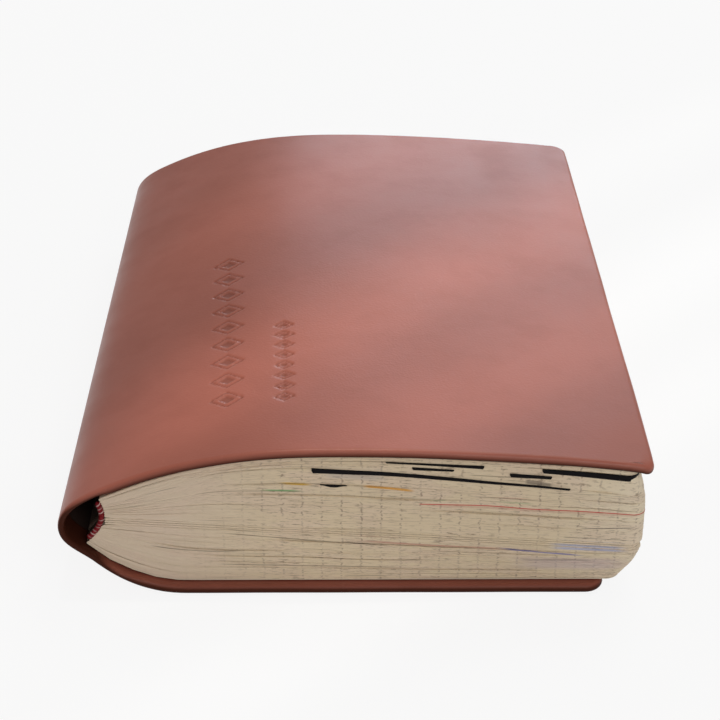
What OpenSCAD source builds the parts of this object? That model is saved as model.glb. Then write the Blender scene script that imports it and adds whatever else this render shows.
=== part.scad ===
// Stamp album: a thread-sewn book block of gridded leaves in a padded
// leatherette cover that wraps a loose, hollow spine.
// Book axes: X from the spine to the fore-edge, Y from the tail to the head,
// Z up from the table. in_frame() then puts the origin under the middle.

/* [Overall size] */
// Width from the outside of the spine to the front cover's fore-edge
album_w = 150; // [120:1:200]
// Height of the covers from tail to head
album_h = 212; // [160:1:300]
// Height of the closed album where the leaves swell most
album_t = 43.4; // [38:0.2:56]
// Length by which the back cover stops short of the front cover
back_setback = 10.5; // [2:0.5:14]
// Radius of the covers' fore-edge corners
cover_corner_r = 5; // [4:0.5:16]

/* [Cover layers] */
// Thickness of the leatherette
leather_t = 0.7; // [0.4:0.05:1.2]
// Thickness of the foam padding
foam_t = 0.8; // [0.4:0.05:1.6]
// Thickness of the flexible card
board_t = 0.8; // [0.4:0.05:1.6]
// Thickness of the endpaper that is pasted down
pastedown_t = 0.3; // [0.2:0.05:0.5]
// Width of the leatherette that is turned in under the card
turn_in = 9; // [5:0.5:16]
// Thickness of the paper that lines the spine
lining_t = 0.5; // [0.3:0.05:0.8]

/* [Shape of the closed album] */
// Distance from the spine to the highest place of the front cover
swell_x = 74; // [60:1:90]
// Sharpness of the rise from the shoulder to the highest place
swell_power = 2.6; // [2:0.1:3.4]
// Height that the front cover loses towards the fore-edge
droop = 4.6; // [1:0.1:7]
// Sharpness of the fall towards the fore-edge
droop_power = 1.7; // [1.3:0.1:2.4]
// Height of the widest place of the hollow spine
spine_z = 20.3; // [17:0.1:24]
// Distance from the spine to the front shoulder
shoulder_x = 9.4; // [8.5:0.1:10]
// Height of the front shoulder, above the back of the leaves
shoulder_z = 31; // [28:0.1:34]
// Distance from the spine at which the back cover leaves the table
flat_x = 32; // [26:1:40]
// Sharpness of the back cover's curve up to the spine
lift_power = 2.2; // [2:0.1:2.6]
// Distance from the spine to the front cover's hinge line
front_hinge_x = 14; // [12.5:0.5:18]
// Distance from the spine to the back cover's hinge line
back_hinge_x = 22; // [20:0.5:25]

/* [Leaves] */
// Number of sewn sections below the centre opening
lower_sections = 8; // [4:1:10]
// Number of sewn sections above the centre opening
upper_sections = 8; // [8:1:10]
// Distance by which the covers stand out at head and tail
square = 2.5; // [1:0.25:5]
// Distance from the spine to the back of the top leaf
back_x = 10.7; // [9.5:0.1:11]
// Distance by which the lowest leaf's back lies nearer the spine
back_lean = 3.9; // [2.5:0.1:4.5]
// Depth of the hollow of the leaves' backs
back_hollow = 1.9; // [0:0.1:2.2]
// Distance by which the front cover stands out over the fore-edge
fore_square = 0.8; // [0.6:0.1:6]
// Distance by which the lowest leaf's fore-edge is drawn in
fore_recede = 9; // [4:0.5:10]
// Height up to which the fore-edge is drawn in
recede_z = 14; // [8:0.5:18]
// Distance by which the top leaf's fore-edge is drawn in
fore_draw = 2.2; // [0:0.1:4]
// Height from which the fore-edge is drawn in again
draw_z = 22; // [18:0.5:26]
// Radius of the leaves' fore-edge corners
leaf_corner_r = 4; // [3:0.5:16]
// Downward slope of the centre opening towards the fore-edge
opening_slope = 3.5; // [2.5:0.1:4]
// Thickness of an endpaper's free leaf
flyleaf_t = 0.25; // [0.15:0.05:0.4]
// Thickness of a stiffened leaf at the centre opening
leaf_t = 0.35; // [0.2:0.05:0.5]
// Number of stations along a leaf's curve
stations = 24; // [16:2:32]

/* [Spine fittings] */
// Thickness of the gauze that is glued over the leaves' backs
mull_t = 0.3; // [0.2:0.05:0.4]
// Thickness of a headband's bead
headband_bead = 1.3; // [0.8:0.1:2]
// Length of the headband's bead along the back
headband_bead_y = 1.7; // [1:0.1:3]
// Length of the headband's tongue along the back
headband_tongue = 12; // [6:1:20]
// Thickness of the sewing thread
thread_d = 0.5; // [0.3:0.05:0.8]
// Number of sewing stations along the back
thread_count = 5; // [3:1:9]
// Distance from head and tail to the outer sewing stations
thread_margin = 22; // [14:1:40]

/* [Stamp mounts] */
// Width of a stamp mount
mount_w = 34; // [24:1:40]
// Height of a stamp mount
mount_h = 44; // [30:1:50]
// Thickness of a stamp mount
mount_t = 0.2; // [0.15:0.05:0.3]
// Thickness of a stamp
stamp_t = 0.12; // [0.08:0.02:0.2]
// Margin of the mount around its stamp
mount_margin = 4; // [2:0.5:6]
// Number of mounts across a page
mount_columns = 2; // [1:1:3]
// Number of mounts up a page
mount_rows = 3; // [1:1:4]
// Depth of the black mount strips that reach the tail edge
strip_depth = 25; // [10:1:40]
// Thickness of the thickest black mount strip
strip_t = 1.3; // [0.8:0.1:1.8]

/* [Clearances] */
// Air between a cover and the leaves
cover_gap = 0.35; // [0.2:0.05:0.6]
// Air between leaves that turn
leaf_gap = 0.3; // [0.2:0.05:0.5]
// Air around the stamps at the centre opening
page_gap = 0.5; // [0.45:0.05:1]
// Distance from the lowest leaf's back to the outside of the spine
heel_gap = 1.8; // [1.6:0.1:2.4]

/* [Hidden] */
section_total = lower_sections + upper_sections;

function two_digits(n) = n < 10 ? str("0", n) : str(n);
function section_name(n) = str("section_", two_digits(n));
LEAF_NAMES = ["turning_leaf_low", "turning_leaf_mid", "turning_leaf_high"];

cover_t = leather_t + foam_t + board_t + pastedown_t;
back_reach = album_w - back_setback;
fore_x = album_w - fore_square;
lift = spine_z * 0.985;
tiny = 0.01;
spare = 5;
curve_steps = 12;
round_fn = 48;

// ---- curves of the closed album, seen from the tail ----

function mix(a, b, t) = a + (b - a) * t;
function clamp01(t) = min(max(t, 0), 1);
function ease(t) = let (u = clamp01(t)) u * u * (3 - 2 * u);
function slope_of(x, top) = let (h = 0.01, x0 = top ? max(x, shoulder_x + h) : x) top
    ? (over(x0 + h) - over(x0 - h)) / (2 * h)
    : (under(x0 + h) - under(x0 - h)) / (2 * h);

// Outside of the front cover: a rise to the swell, then a slow droop.
function over(x) =
    let (u = clamp01((x - shoulder_x) / (swell_x - shoulder_x)),
         v = max(0, (x - swell_x) / (album_w - swell_x)))
    mix(shoulder_z, album_t, 1 - pow(1 - u, swell_power)) - droop * pow(v, droop_power);

// Outside of the back cover: flat on the table, lifted towards the spine.
function under(x) = lift * pow(max(0, (flat_x - x) / flat_x), lift_power);

// A point at depth d inside either outside curve.
function over_in(x, d) = let (m = slope_of(x, true), r = sqrt(1 + m * m)) [x + d * m / r, over(x) - d / r];
function under_in(x, d) = let (m = slope_of(x, false), r = sqrt(1 + m * m)) [x - d * m / r, under(x) + d / r];

// Heights of the leaves' outsides, under and over the covers' layers.
leaves_under_cover = cover_t + cover_gap + flyleaf_t + leaf_gap;
function steep(x, top) = sqrt(1 + pow(slope_of(x, top), 2));
function heel(x) = ease((x - back_x + back_lean) / (back_hinge_x - back_x + back_lean));
function block_low(x) = under(x) + mix(heel_gap, cover_t + cover_gap, heel(x)) * steep(x, false);
function block_high(x) = over(x) - leaves_under_cover * steep(x, true);

// The back of the leaves at share q of their height: concave and leaning.
heel_x = back_x - back_lean;
heel_z = block_low(heel_x);
top_z = block_high(back_x);
function back_point(q) = [back_x - back_lean * pow(1 - q, 2) + back_hollow * sin(180 * q), mix(heel_z, top_z, q)];

// The centre opening: a flat, slightly sloping parting of the leaves.
opening_q = lower_sections / section_total;
fold = back_point(opening_q);
opening_h = page_gap * 2 + leaf_t * len(LEAF_NAMES) + leaf_gap * (len(LEAF_NAMES) - 1);
opening_rise = opening_h / 2 / cos(opening_slope);
function parting(x) = fold[1] - (x - fold[0]) * tan(opening_slope);

// Fore-edge of a leaf whose edge lies at height z.
function fore_at(z) = fore_x - fore_recede * pow(max(0, (recede_z - z) / recede_z), 2)
    - fore_draw * pow(max(0, (z - draw_z) / 12), 2);

// The upper sections thicken where the black mount strips lie between them: their
// faces' shares of the height near the swell, and near the fore-edge.
near_steps = [0, 0.15, 0.31, 0.47, 0.63, 0.853, 0.91, 0.945, 1];
far_steps = [0, 0.14, 0.28, 0.42, 0.53, 0.645, 0.815, 0.925, 1];
function share(k, upper, x) = !upper ? k / lower_sections
    : upper_sections != len(near_steps) - 1 ? k / upper_sections
    : mix(near_steps[k], far_steps[k], clamp01((x - swell_x + 10) / (album_w - 4 - swell_x + 10)));

// Face number k between sections, from back to fore-edge. The lower half
// counts from its outside, the upper half from the centre opening.
function level(x, s, upper) = upper
    ? mix(parting(x) + opening_rise, block_high(x), s)
    : mix(block_low(x) + flyleaf_t, parting(x) - opening_rise, s);
function back_q(k, upper) = let (half_opening = opening_rise / (top_z - heel_z)) upper
    ? mix(opening_q + half_opening, 1, k / upper_sections)
    : (opening_q - half_opening) * k / lower_sections;
// A face leaves the back at the back's own height and eases to its share of the leaves.
back_ease = 30;
function leaf_face(k, upper) =
    let (b = back_point(back_q(k, upper)), s1 = share(k, upper, fore_x), low = level(b[0], 0, upper),
         outer = s1 == 0 || s1 == 1,
         s0 = outer ? s1 : clamp01((b[1] - low) / (level(b[0], 1, upper) - low)),
         xb = fore_at(level(fore_x - 2, s1, upper)))
    [for (i = [0:stations]) let (x = mix(b[0], xb, i / stations))
        [x, level(x, mix(s0, share(k, upper, x), ease((x - b[0]) / back_ease)), upper)]];

function backwards(list) = [for (i = [len(list) - 1:-1:0]) list[i]];

// ---- the spine's outside, from the front hinge line round to the back one ----

function bezier(a, b, c, d, t) =
    pow(1 - t, 3) * a + 3 * pow(1 - t, 2) * t * b + 3 * (1 - t) * t * t * c + pow(t, 3) * d;
tube_top = [shoulder_x, over(shoulder_x)];
tube_low_x = 8.8;
tube_low = [tube_low_x, under(tube_low_x)];
tube_side = [0, spine_z];
tube_pull = 5.2;
function along(x, top, reach) = let (m = slope_of(x, top), r = sqrt(1 + m * m)) [reach / r, reach * m / r];
function spine_outside() = concat(
    [for (i = [0:3]) let (x = mix(front_hinge_x, shoulder_x, i / 3)) [x, over(x)]],
    [for (i = [1:curve_steps]) bezier(tube_top, tube_top - along(shoulder_x, true, tube_pull),
        tube_side + [0, tube_pull], tube_side, i / curve_steps)],
    [for (i = [1:curve_steps]) bezier(tube_side, tube_side - [0, tube_pull],
        tube_low - along(tube_low_x, false, tube_pull), tube_low, i / curve_steps)],
    [for (i = [1:6]) let (x = mix(tube_low_x, back_hinge_x, i / 6)) [x, under(x)]]);

// Inward normal of a point on an open line that runs front, spine, back.
function inward(line, i) =
    let (a = line[max(i - 1, 0)], b = line[min(i + 1, len(line) - 1)], t = (b - a) / norm(b - a))
    [-t[1], t[0]];
function spine_inset(d) = let (line = spine_outside()) concat([over_in(front_hinge_x, d)],
    [for (i = [1:len(line) - 2]) line[i] + d * inward(line, i)], [under_in(back_hinge_x, d)]);

// ---- building blocks ----

module in_frame() translate([-album_w / 2, -album_h / 2, 0]) children();

module run_y(points, y0, y1) translate([0, y1, 0]) rotate([90, 0, 0]) linear_extrude(y1 - y0) polygon(points);

// Plan with rounded fore-edge corners, from x0 to x1 and y0 to y1.
module plan(x0, x1, y0, y1, r) {
    translate([x0, y0]) square([x1 - r - x0, y1 - y0]);
    translate([x0, y0 + r]) square([x1 - x0, y1 - y0 - 2 * r]);
    for (y = [y0 + r, y1 - r]) translate([x1 - r, y]) circle(r, $fn = round_fn);
}

module plan_prism(x1, inset, r) translate([0, 0, -spare]) linear_extrude(album_t + 2 * spare)
    plan(-spare, x1 - inset, inset, album_h - inset, r);

// A layer of a cover between depths d0 and d1, cut to the cover's plan.
cover_steps = 44;
function cover_line(top, d) =
    let (x0 = top ? front_hinge_x : back_hinge_x, x1 = (top ? album_w : back_reach) + spare)
    [for (i = [0:cover_steps]) let (x = mix(x0, x1, pow(i / cover_steps, 1.4)))
        top ? over_in(x, d) : under_in(x, d)];
function cover_end(top) = top ? album_w : back_reach;
module cover_layer(top, d0, d1, inset) intersection() {
    run_y(concat(cover_line(top, d0), backwards(cover_line(top, d1))), 0, album_h);
    plan_prism(cover_end(top), inset, cover_corner_r - min(inset, cover_corner_r - 1));
}

foam_d = leather_t;
board_d = foam_d + foam_t;
paste_d = board_d + board_t;
module cover_leather(top) difference() {
    cover_layer(top, 0, cover_t, 0);
    cover_layer(top, foam_d, paste_d, leather_t);
    cover_layer(top, paste_d, cover_t + tiny, turn_in);
}

module front_cover_leather() color("#9a5a50") in_frame() cover_leather(true);
module back_cover_leather() color("#7c443c") in_frame() cover_leather(false);
module front_cover_foam() color("#e8e2d4") in_frame() cover_layer(true, foam_d, board_d, leather_t);
module back_cover_foam() color("#e8e2d4") in_frame() cover_layer(false, foam_d, board_d, leather_t);
module front_cover_board() color("#a89a84") in_frame() cover_layer(true, board_d, paste_d, leather_t);
module back_cover_board() color("#a89a84") in_frame() cover_layer(false, board_d, paste_d, leather_t);
module front_pastedown() color("#e6dcc2") in_frame() cover_layer(true, paste_d, cover_t, turn_in);
module back_pastedown() color("#e6dcc2") in_frame() cover_layer(false, paste_d, cover_t, turn_in);

module spine_band(d0, d1) in_frame()
    run_y(concat(spine_inset(d0), backwards(spine_inset(d1))), 0, album_h);
module spine_leather() color("#87493f") spine_band(0, leather_t);
module spine_lining() color("#4a2c26") spine_band(leather_t, leather_t + lining_t);

// ---- the sewn leaves ----

module leaf_prism(x1) translate([0, 0, -spare]) linear_extrude(album_t + 2 * spare)
    plan(-spare, x1, square, album_h - square, leaf_corner_r);

function reach_of(line) = line[len(line) - 1][0];

// The sections' backs, from the lowest to the highest, moved by dx.
function lower_backs(dx) = [for (k = [0:lower_sections]) leaf_face(k, false)[0] + [dx, 0]];
function upper_backs(dx) = [for (k = [0:upper_sections]) leaf_face(k, true)[0] + [dx, 0]];

// Sewing stations: a thread lies in a small kerf across the leaves' backs.
module kerfs(backs, inner) for (i = [0:thread_count - 1])
    let (y = mix(thread_margin, album_h - thread_margin, i / (thread_count - 1)))
    run_y(concat(backs, backwards(inner)), y - thread_d / 2, y + thread_d / 2);
module threads(upper) if (upper) kerfs(upper_backs(0), upper_backs(thread_d));
    else kerfs(lower_backs(0), lower_backs(thread_d));

module section(n) {
    upper = n > lower_sections;
    k = upper ? n - lower_sections : n;
    low = leaf_face(k - 1, upper);
    high = leaf_face(k, upper);
    difference() {
        intersection() {
            run_y(concat(low, backwards(high)), square, album_h - square);
            leaf_prism(max(reach_of(low), reach_of(high)));
        }
        threads(upper);
        if (upper) strips(k, tiny);
    }
}

module numbered_section(n) color(n % 2 == 0 ? "#d9cba6" : "#cdbe98") in_frame() section(n);

// Black mount strips between the upper sections: under which section's top
// they lie, from where to where along the leaf, and their shares of strip_t there.
strip_list = [[5, 9, 21, 1, 0.35], [7, 13, 17, 0.3, 0.6], [6, 14, 16, 0.55, 0.4],
    [7, 20, 24, 0.7, 1], [6, 18, 20, 0.6, 0.5], [4, 9, 11, 0.35, 0.35]];
strip_divisions = 24;
module strips(k, extra) for (s = strip_list) if (s[0] == k) {
    top = leaf_face(k, true);
    i0 = round(s[1] * stations / strip_divisions);
    i1 = round(s[2] * stations / strip_divisions);
    upper_edge = [for (i = [i0:i1]) top[i]];
    lower_edge = [for (i = [i0:i1])
        top[i] - [0, strip_t * mix(s[3], s[4], (i - i0) / (i1 - i0))]];
    intersection() {
        run_y(concat(lower_edge, backwards(upper_edge)), square - extra, square + strip_depth);
        leaf_prism(reach_of(top));
    }
}
module black_mount_strips() color("#16151a") in_frame() for (k = [1:upper_sections]) strips(k, 0);

module back_flyleaf() color("#e2d7bb") in_frame() {
    low = [for (p = leaf_face(0, false)) [p[0], p[1] - flyleaf_t]];
    intersection() {
        run_y(concat(low, backwards(leaf_face(0, false))), square, album_h - square);
        leaf_prism(reach_of(low));
    }
}

// The free front leaf floats between the front cover and the top section.
fly_x0 = front_hinge_x + 1;
module front_flyleaf() color("#e2d7bb") in_frame() {
    depth = cover_t + cover_gap;
    xs = [for (i = [0:cover_steps]) mix(fly_x0, fore_x, pow(i / cover_steps, 1.4))];
    intersection() {
        run_y(concat([for (x = xs) over_in(x, depth)],
            backwards([for (x = xs) over_in(x, depth + flyleaf_t)])), square, album_h - square);
        leaf_prism(fore_at(over(fore_x) - cover_t));
    }
}

// ---- leaves at the centre opening, all flat and parallel to the parting ----

module on_opening(h) translate([fold[0], 0, fold[1]]) rotate([0, opening_slope, 0]) translate([0, 0, h]) children();

leaf_draw_in = 0.6;
leaf_root = 0.15;
function leaf_h(i) = -opening_h / 2 + page_gap + i * (leaf_t + leaf_gap);
leaf_reach = (fore_x - fold[0]) / cos(opening_slope) - leaf_draw_in;
module turning_leaf(i) color("#ddd0ae") in_frame() on_opening(leaf_h(i)) linear_extrude(leaf_t)
    plan(leaf_root, leaf_reach, square, album_h - square, leaf_corner_r);

// Stamp mounts in rows, and a stamp in each.
page_left = 20;
module mount_grid(w, h) {
    page_w = leaf_reach - page_left - leaf_corner_r;
    page_h = album_h - 4 * square;
    for (c = [0:mount_columns - 1]) for (r = [0:mount_rows - 1])
        translate([page_left + page_w * (c + 0.5) / mount_columns - w / 2,
            2 * square + page_h * (r + 0.5) / mount_rows - h / 2]) square([w, h]);
}
module mounts_at(h) on_opening(h) linear_extrude(mount_t) mount_grid(mount_w, mount_h);
module stamps_at(h) on_opening(h) linear_extrude(stamp_t)
    mount_grid(mount_w - 2 * mount_margin, mount_h - 2 * mount_margin);
low_page = -opening_h / 2;
module stamp_mounts_lower() color("#1c1b20") in_frame() mounts_at(low_page);
module stamps_lower() color("#b4584a") in_frame() stamps_at(low_page + mount_t);
module stamp_mounts_upper() color("#1c1b20") in_frame() mounts_at(-low_page - mount_t);
module stamps_upper() color("#5a7aa0") in_frame() stamps_at(-low_page - mount_t - stamp_t);

// ---- on the back of the leaves ----

mull_low_x = back_hinge_x - 1;
mull_high_x = front_hinge_x - 0.5;
glue_t = 0.04;
function backs(dx) = concat(lower_backs(dx), upper_backs(dx));
function wrap(d) = concat(
    [for (i = [0:8]) let (x = mix(mull_low_x, heel_x, i / 8)) [x, block_low(x) - d * steep(x, false)]],
    backs(-d),
    [for (i = [0:4]) let (x = mix(back_x, mull_high_x, i / 4)) [x, block_high(x) + d * steep(x, true)]]);
module mull() color("#cfc6b0") in_frame() run_y(concat(wrap(glue_t), backwards(wrap(glue_t + mull_t))),
    square + headband_tongue / 2, album_h - square - headband_tongue / 2);

// A headband: a bead at the edge of the leaves and a tongue under the gauze's
// outside. Both leave out the lowest and the highest back.
function inner_backs(dx) = let (b = backs(dx)) [for (i = [1:len(b) - 2]) b[i]];
module headband(y_edge, side) {
    y_out = y_edge - side * headband_bead_y / 2;
    y_in = y_edge + side * headband_bead_y / 2;
    y_tongue = y_out + side * headband_tongue;
    seat = glue_t + mull_t;
    run_y(concat(inner_backs(-seat), backwards(inner_backs(-seat - headband_bead))),
        min(y_out, y_in), max(y_out, y_in));
    run_y(concat(inner_backs(-seat), backwards(inner_backs(-seat - mull_t))),
        min(y_in, y_tongue), max(y_in, y_tongue));
}
module headband_tail() color("#a3202c") in_frame() headband(square, 1);
module headband_head() color("#a3202c") in_frame() headband(album_h - square, -1);
module sewing_thread_lower() color("#f2eee2") in_frame() threads(false);
module sewing_thread_upper() color("#f2eee2") in_frame() threads(true);

// ---- nodes ----

back_cover_leather();
back_cover_foam();
back_cover_board();
back_pastedown();
front_cover_leather();
front_cover_foam();
front_cover_board();
front_pastedown();
spine_leather();
spine_lining();
mull();
headband_head();
headband_tail();
sewing_thread_lower();
sewing_thread_upper();
back_flyleaf();
front_flyleaf();
for (n = [1:section_total]) numbered_section(n);
for (i = [0:len(LEAF_NAMES) - 1]) turning_leaf(i);
black_mount_strips();
stamp_mounts_lower();
stamps_lower();
stamp_mounts_upper();
stamps_upper();
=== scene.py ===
"""A thread-sewn stamp album in a padded leatherette cover, dressed over its solids.

Shapes are worked out in millimetres in the album's own axes: X from the outside of the
spine to the fore-edge, Y from the tail to the head, Z up from the table. new_piece()
turns them into metres in the frame of the solids.
"""

import math

import bmesh
import bpy
import numpy as np
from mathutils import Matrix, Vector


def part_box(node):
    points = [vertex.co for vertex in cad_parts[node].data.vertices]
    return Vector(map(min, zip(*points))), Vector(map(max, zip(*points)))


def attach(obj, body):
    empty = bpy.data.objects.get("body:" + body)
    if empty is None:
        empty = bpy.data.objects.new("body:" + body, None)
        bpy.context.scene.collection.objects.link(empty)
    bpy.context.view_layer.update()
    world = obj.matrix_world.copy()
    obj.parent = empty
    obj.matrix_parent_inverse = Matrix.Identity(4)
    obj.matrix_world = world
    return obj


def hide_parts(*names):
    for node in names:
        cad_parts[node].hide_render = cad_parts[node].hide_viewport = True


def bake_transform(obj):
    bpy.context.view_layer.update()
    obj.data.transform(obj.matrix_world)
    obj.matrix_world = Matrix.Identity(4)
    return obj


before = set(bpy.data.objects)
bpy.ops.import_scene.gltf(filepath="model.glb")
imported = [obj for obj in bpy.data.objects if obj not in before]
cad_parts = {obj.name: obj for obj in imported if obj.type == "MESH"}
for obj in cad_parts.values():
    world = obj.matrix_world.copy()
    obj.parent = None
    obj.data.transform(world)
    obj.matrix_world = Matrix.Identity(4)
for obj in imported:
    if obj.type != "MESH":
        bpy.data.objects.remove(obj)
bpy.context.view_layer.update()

# ---- sizes in millimetres, the same as those of the solids ----

ALBUM_W, ALBUM_H, ALBUM_T = 150.0, 212.0, 43.4
BACK_REACH = ALBUM_W - 10.5     # the back cover is the shorter one
CORNER_R = 5.0
COVER_T = 2.6
TURN_IN = 9.0
SQUARE = 2.5                    # from a cover's edge to the leaves
SPINE_Z = 20.3                  # the spine's outermost line
FRONT_HINGE_X, BACK_HINGE_X = 14.0, 22.0

# The front cover rises from the shoulder to the swell, then droops to the fore-edge.
SHOULDER_X, SHOULDER_Z = 9.4, 31.0
SWELL_X, SWELL_POWER = 74.0, 2.6
DROOP, DROOP_POWER = 4.6, 1.7
# The back cover is flat from here, and lifts towards the spine.
FLAT_X, LIFT_POWER = 32.0, 2.2
LIFT = SPINE_Z * 0.985
# The hollow spine: length of its curves' handles, and where it meets the back cover.
TUBE_PULL, TUBE_LOW_X = 5.2, 8.8

# Backs of the leaves: how far they lean and are hollowed, and their gap at the heel.
BACK_X, BACK_LEAN, BACK_HOLLOW = 10.7, 3.9, 1.9
HEEL_X = BACK_X - BACK_LEAN
HEEL_GAP = 1.8
BACK_EASE = 30.0
# Fore-edge of the leaves: drawn in below RECEDE_Z and above DRAW_Z.
FORE_X = ALBUM_W - 0.8
FORE_RECEDE, RECEDE_Z = 9.0, 14.0
FORE_DRAW, DRAW_Z, DRAW_H = 2.2, 22.0, 12.0
LEAF_CORNER_R = 4.0

OPENING_SLOPE = math.tan(math.radians(3.5))
OPENING_H = 2.65
FLYLEAF_T, LEAF_T, LEAF_GAP, COVER_GAP = 0.25, 0.35, 0.3, 0.35
SECTIONS = 8                    # in each half
# Shares of the upper half's height at which its sections part, before and after the swell.
NEAR_STEPS = [0, 0.15, 0.31, 0.47, 0.63, 0.853, 0.91, 0.945, 1]
FAR_STEPS = [0, 0.14, 0.28, 0.42, 0.53, 0.645, 0.815, 0.925, 1]
STEPS_FROM, STEPS_TO = SWELL_X - 10, ALBUM_W - 4

FRAME_SHIFT = np.array([ALBUM_W / 2, ALBUM_H / 2, 0])
MM = 0.001
LEAST_STEP = 0.05               # rows of a mesh are never closer than this

# Seeds of the waves and draws, so that each run gives the same shapes.
SEED_SECTION, SEED_BROAD, SEED_FINE, SEED_SEAM = 100, 3, 13, 61
SEED_CENTRE, SEED_TURNING, SEED_SOFT, SEED_ROLL = 77, 50, 21, 31

# ---- curves of the closed album ----


def mix(a, b, t):
    """a at t = 0 and b at t = 1, in a straight line."""
    return a + (b - a) * t


def ease(t):
    """Smooth step: 3 t^2 - 2 t^3 between 0 and 1, and level outside."""
    t = np.clip(t, 0, 1)
    return t * t * (3 - 2 * t)


def over(x):
    """Outside of the front cover: 1 - (1 - u)^2.6 up to the swell, then a drop of v^1.7."""
    u = np.clip((x - SHOULDER_X) / (SWELL_X - SHOULDER_X), 0, 1)
    v = np.maximum(0, (x - SWELL_X) / (ALBUM_W - SWELL_X))
    return mix(SHOULDER_Z, ALBUM_T, 1 - (1 - u) ** SWELL_POWER) - DROOP * v**DROOP_POWER


def under(x):
    """Outside of the back cover: flat, then lifted to the spine by ((32 - x) / 32)^2.2."""
    return LIFT * np.maximum(0, (FLAT_X - x) / FLAT_X) ** LIFT_POWER


def slope(curve, x):
    """Central difference of a curve; the rise of the front cover starts at its shoulder."""
    h = 0.01
    x0 = np.maximum(x, SHOULDER_X + h) if curve is over else x
    return (curve(x0 + h) - curve(x0 - h)) / (2 * h)


def steep(curve, x):
    """Length of a curve for each millimetre of X."""
    return np.sqrt(1 + slope(curve, x) ** 2)


def inside(curve, x, depth):
    """Point (x, z) at a depth along the inward normal of either outside curve."""
    m, r, side = slope(curve, x), steep(curve, x), 1 if curve is over else -1
    return x + side * depth * m / r, curve(x) - side * depth / r


def block_low(x):
    """Underside of the leaves: its gap to the back cover narrows from the heel."""
    heel = ease((x - HEEL_X) / (BACK_HINGE_X - HEEL_X))
    return under(x) + mix(HEEL_GAP, COVER_T + COVER_GAP, heel) * steep(under, x)


def block_high(x):
    """Top of the leaves, under the front cover and its flyleaf."""
    depth = COVER_T + COVER_GAP + FLYLEAF_T + LEAF_GAP
    return over(x) - depth * steep(over, x)


def back_point(q):
    """The leaves' backs at share q of their height: x = 10.7 - 3.9 (1 - q)^2 + 1.9 sin(pi q)."""
    z0, z1 = block_low(np.float64(HEEL_X)), block_high(np.float64(BACK_X))
    x = BACK_X - BACK_LEAN * (1 - q) ** 2 + BACK_HOLLOW * np.sin(np.pi * q)
    return x, mix(z0, z1, q)


FOLD_X, FOLD_Z = (float(v) for v in back_point(0.5))
OPENING_RISE = OPENING_H / 2 * math.sqrt(1 + OPENING_SLOPE**2)


def level(x, share, upper):
    """Height of a leaf: between the outside of the leaves and the centre opening."""
    parting = FOLD_Z - (x - FOLD_X) * OPENING_SLOPE
    if upper:
        return mix(parting + OPENING_RISE, block_high(x), share)
    return mix(block_low(x) + FLYLEAF_T, parting - OPENING_RISE, share)


def back_share(k, upper):
    """Share q of the backs' height for face number k of a half; k need not be whole."""
    half = OPENING_RISE / (back_point(1.0)[1] - back_point(0.0)[1])
    return mix(0.5 + half, 1, k / SECTIONS) if upper else (0.5 - half) * k / SECTIONS


def leaf_share(face, x, upper):
    """A face's share of its half's height; in the upper half it changes along X."""
    if not upper:
        return face / SECTIONS
    t = np.clip((x - STEPS_FROM) / (STEPS_TO - STEPS_FROM), 0, 1)
    whole = range(SECTIONS + 1)
    return mix(np.interp(face, whole, NEAR_STEPS), np.interp(face, whole, FAR_STEPS), t)


def leaf_height(x, face, upper):
    """Height of the leaf at a face: its share eases over 30 mm from the back's own."""
    xb, zb = back_point(back_share(face, upper))
    low, high = level(xb, 0, upper), level(xb, 1, upper)
    own = face / SECTIONS if face in (0, SECTIONS) else min(max((zb - low) / (high - low), 0), 1)
    return level(x, mix(own, leaf_share(face, x, upper), ease((x - xb) / BACK_EASE)), upper)


def fore_at(z):
    """Fore-edge of a leaf: drawn in by 9 ((14 - z) / 14)^2 and by 2.2 ((z - 22) / 12)^2."""
    low, high = np.maximum(0, (RECEDE_Z - z) / RECEDE_Z), np.maximum(0, (z - DRAW_Z) / DRAW_H)
    return FORE_X - FORE_RECEDE * low**2 - FORE_DRAW * high**2


def waves(a, b, seed, octaves=4):
    """A smooth, repeatable sum of crossed sines of a and b, between about -1 and 1."""
    rng = np.random.default_rng(seed)
    total = np.zeros(np.broadcast(a, b).shape)
    for k in range(octaves):
        fa, fb, pa, pb = rng.uniform(0.6, 1.6, 2).tolist() + rng.uniform(0, 6.28, 2).tolist()
        total += np.sin(a * fa * 1.7**k + pa) * np.sin(b * fb * 1.7**k + pb) / 1.35**k
    return total / 1.9


def directions(line):
    """Unit vectors along a row of (x, z) points, and the normals on their left."""
    ahead = np.gradient(line, axis=0)
    ahead /= np.linalg.norm(ahead, axis=1, keepdims=True)
    return ahead, np.stack([-ahead[:, 1], ahead[:, 0]], 1)


def run_along(x, y):
    """Length from the first of a row of points to each one."""
    return np.concatenate([[0], np.cumsum(np.hypot(np.diff(x), np.diff(y)))])


# ---- meshes ----


def add_object(name, data):
    """A new object in the scene for a mesh, a lamp or the camera."""
    made = bpy.data.objects.new(name, data)
    bpy.context.scene.collection.objects.link(made)
    return made


SHARP_ANGLE = 50.0


def grid_faces(rows, cols, start=0, flip=False):
    """Quads of a grid of rows by cols vertices whose first index is start."""
    j, i = np.meshgrid(np.arange(rows - 1), np.arange(cols - 1), indexing="ij")
    a = (start + j * cols + i).ravel()
    quads = np.stack([a, a + 1, a + cols + 1, a + cols], axis=1)
    return quads[:, ::-1] if flip else quads


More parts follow.
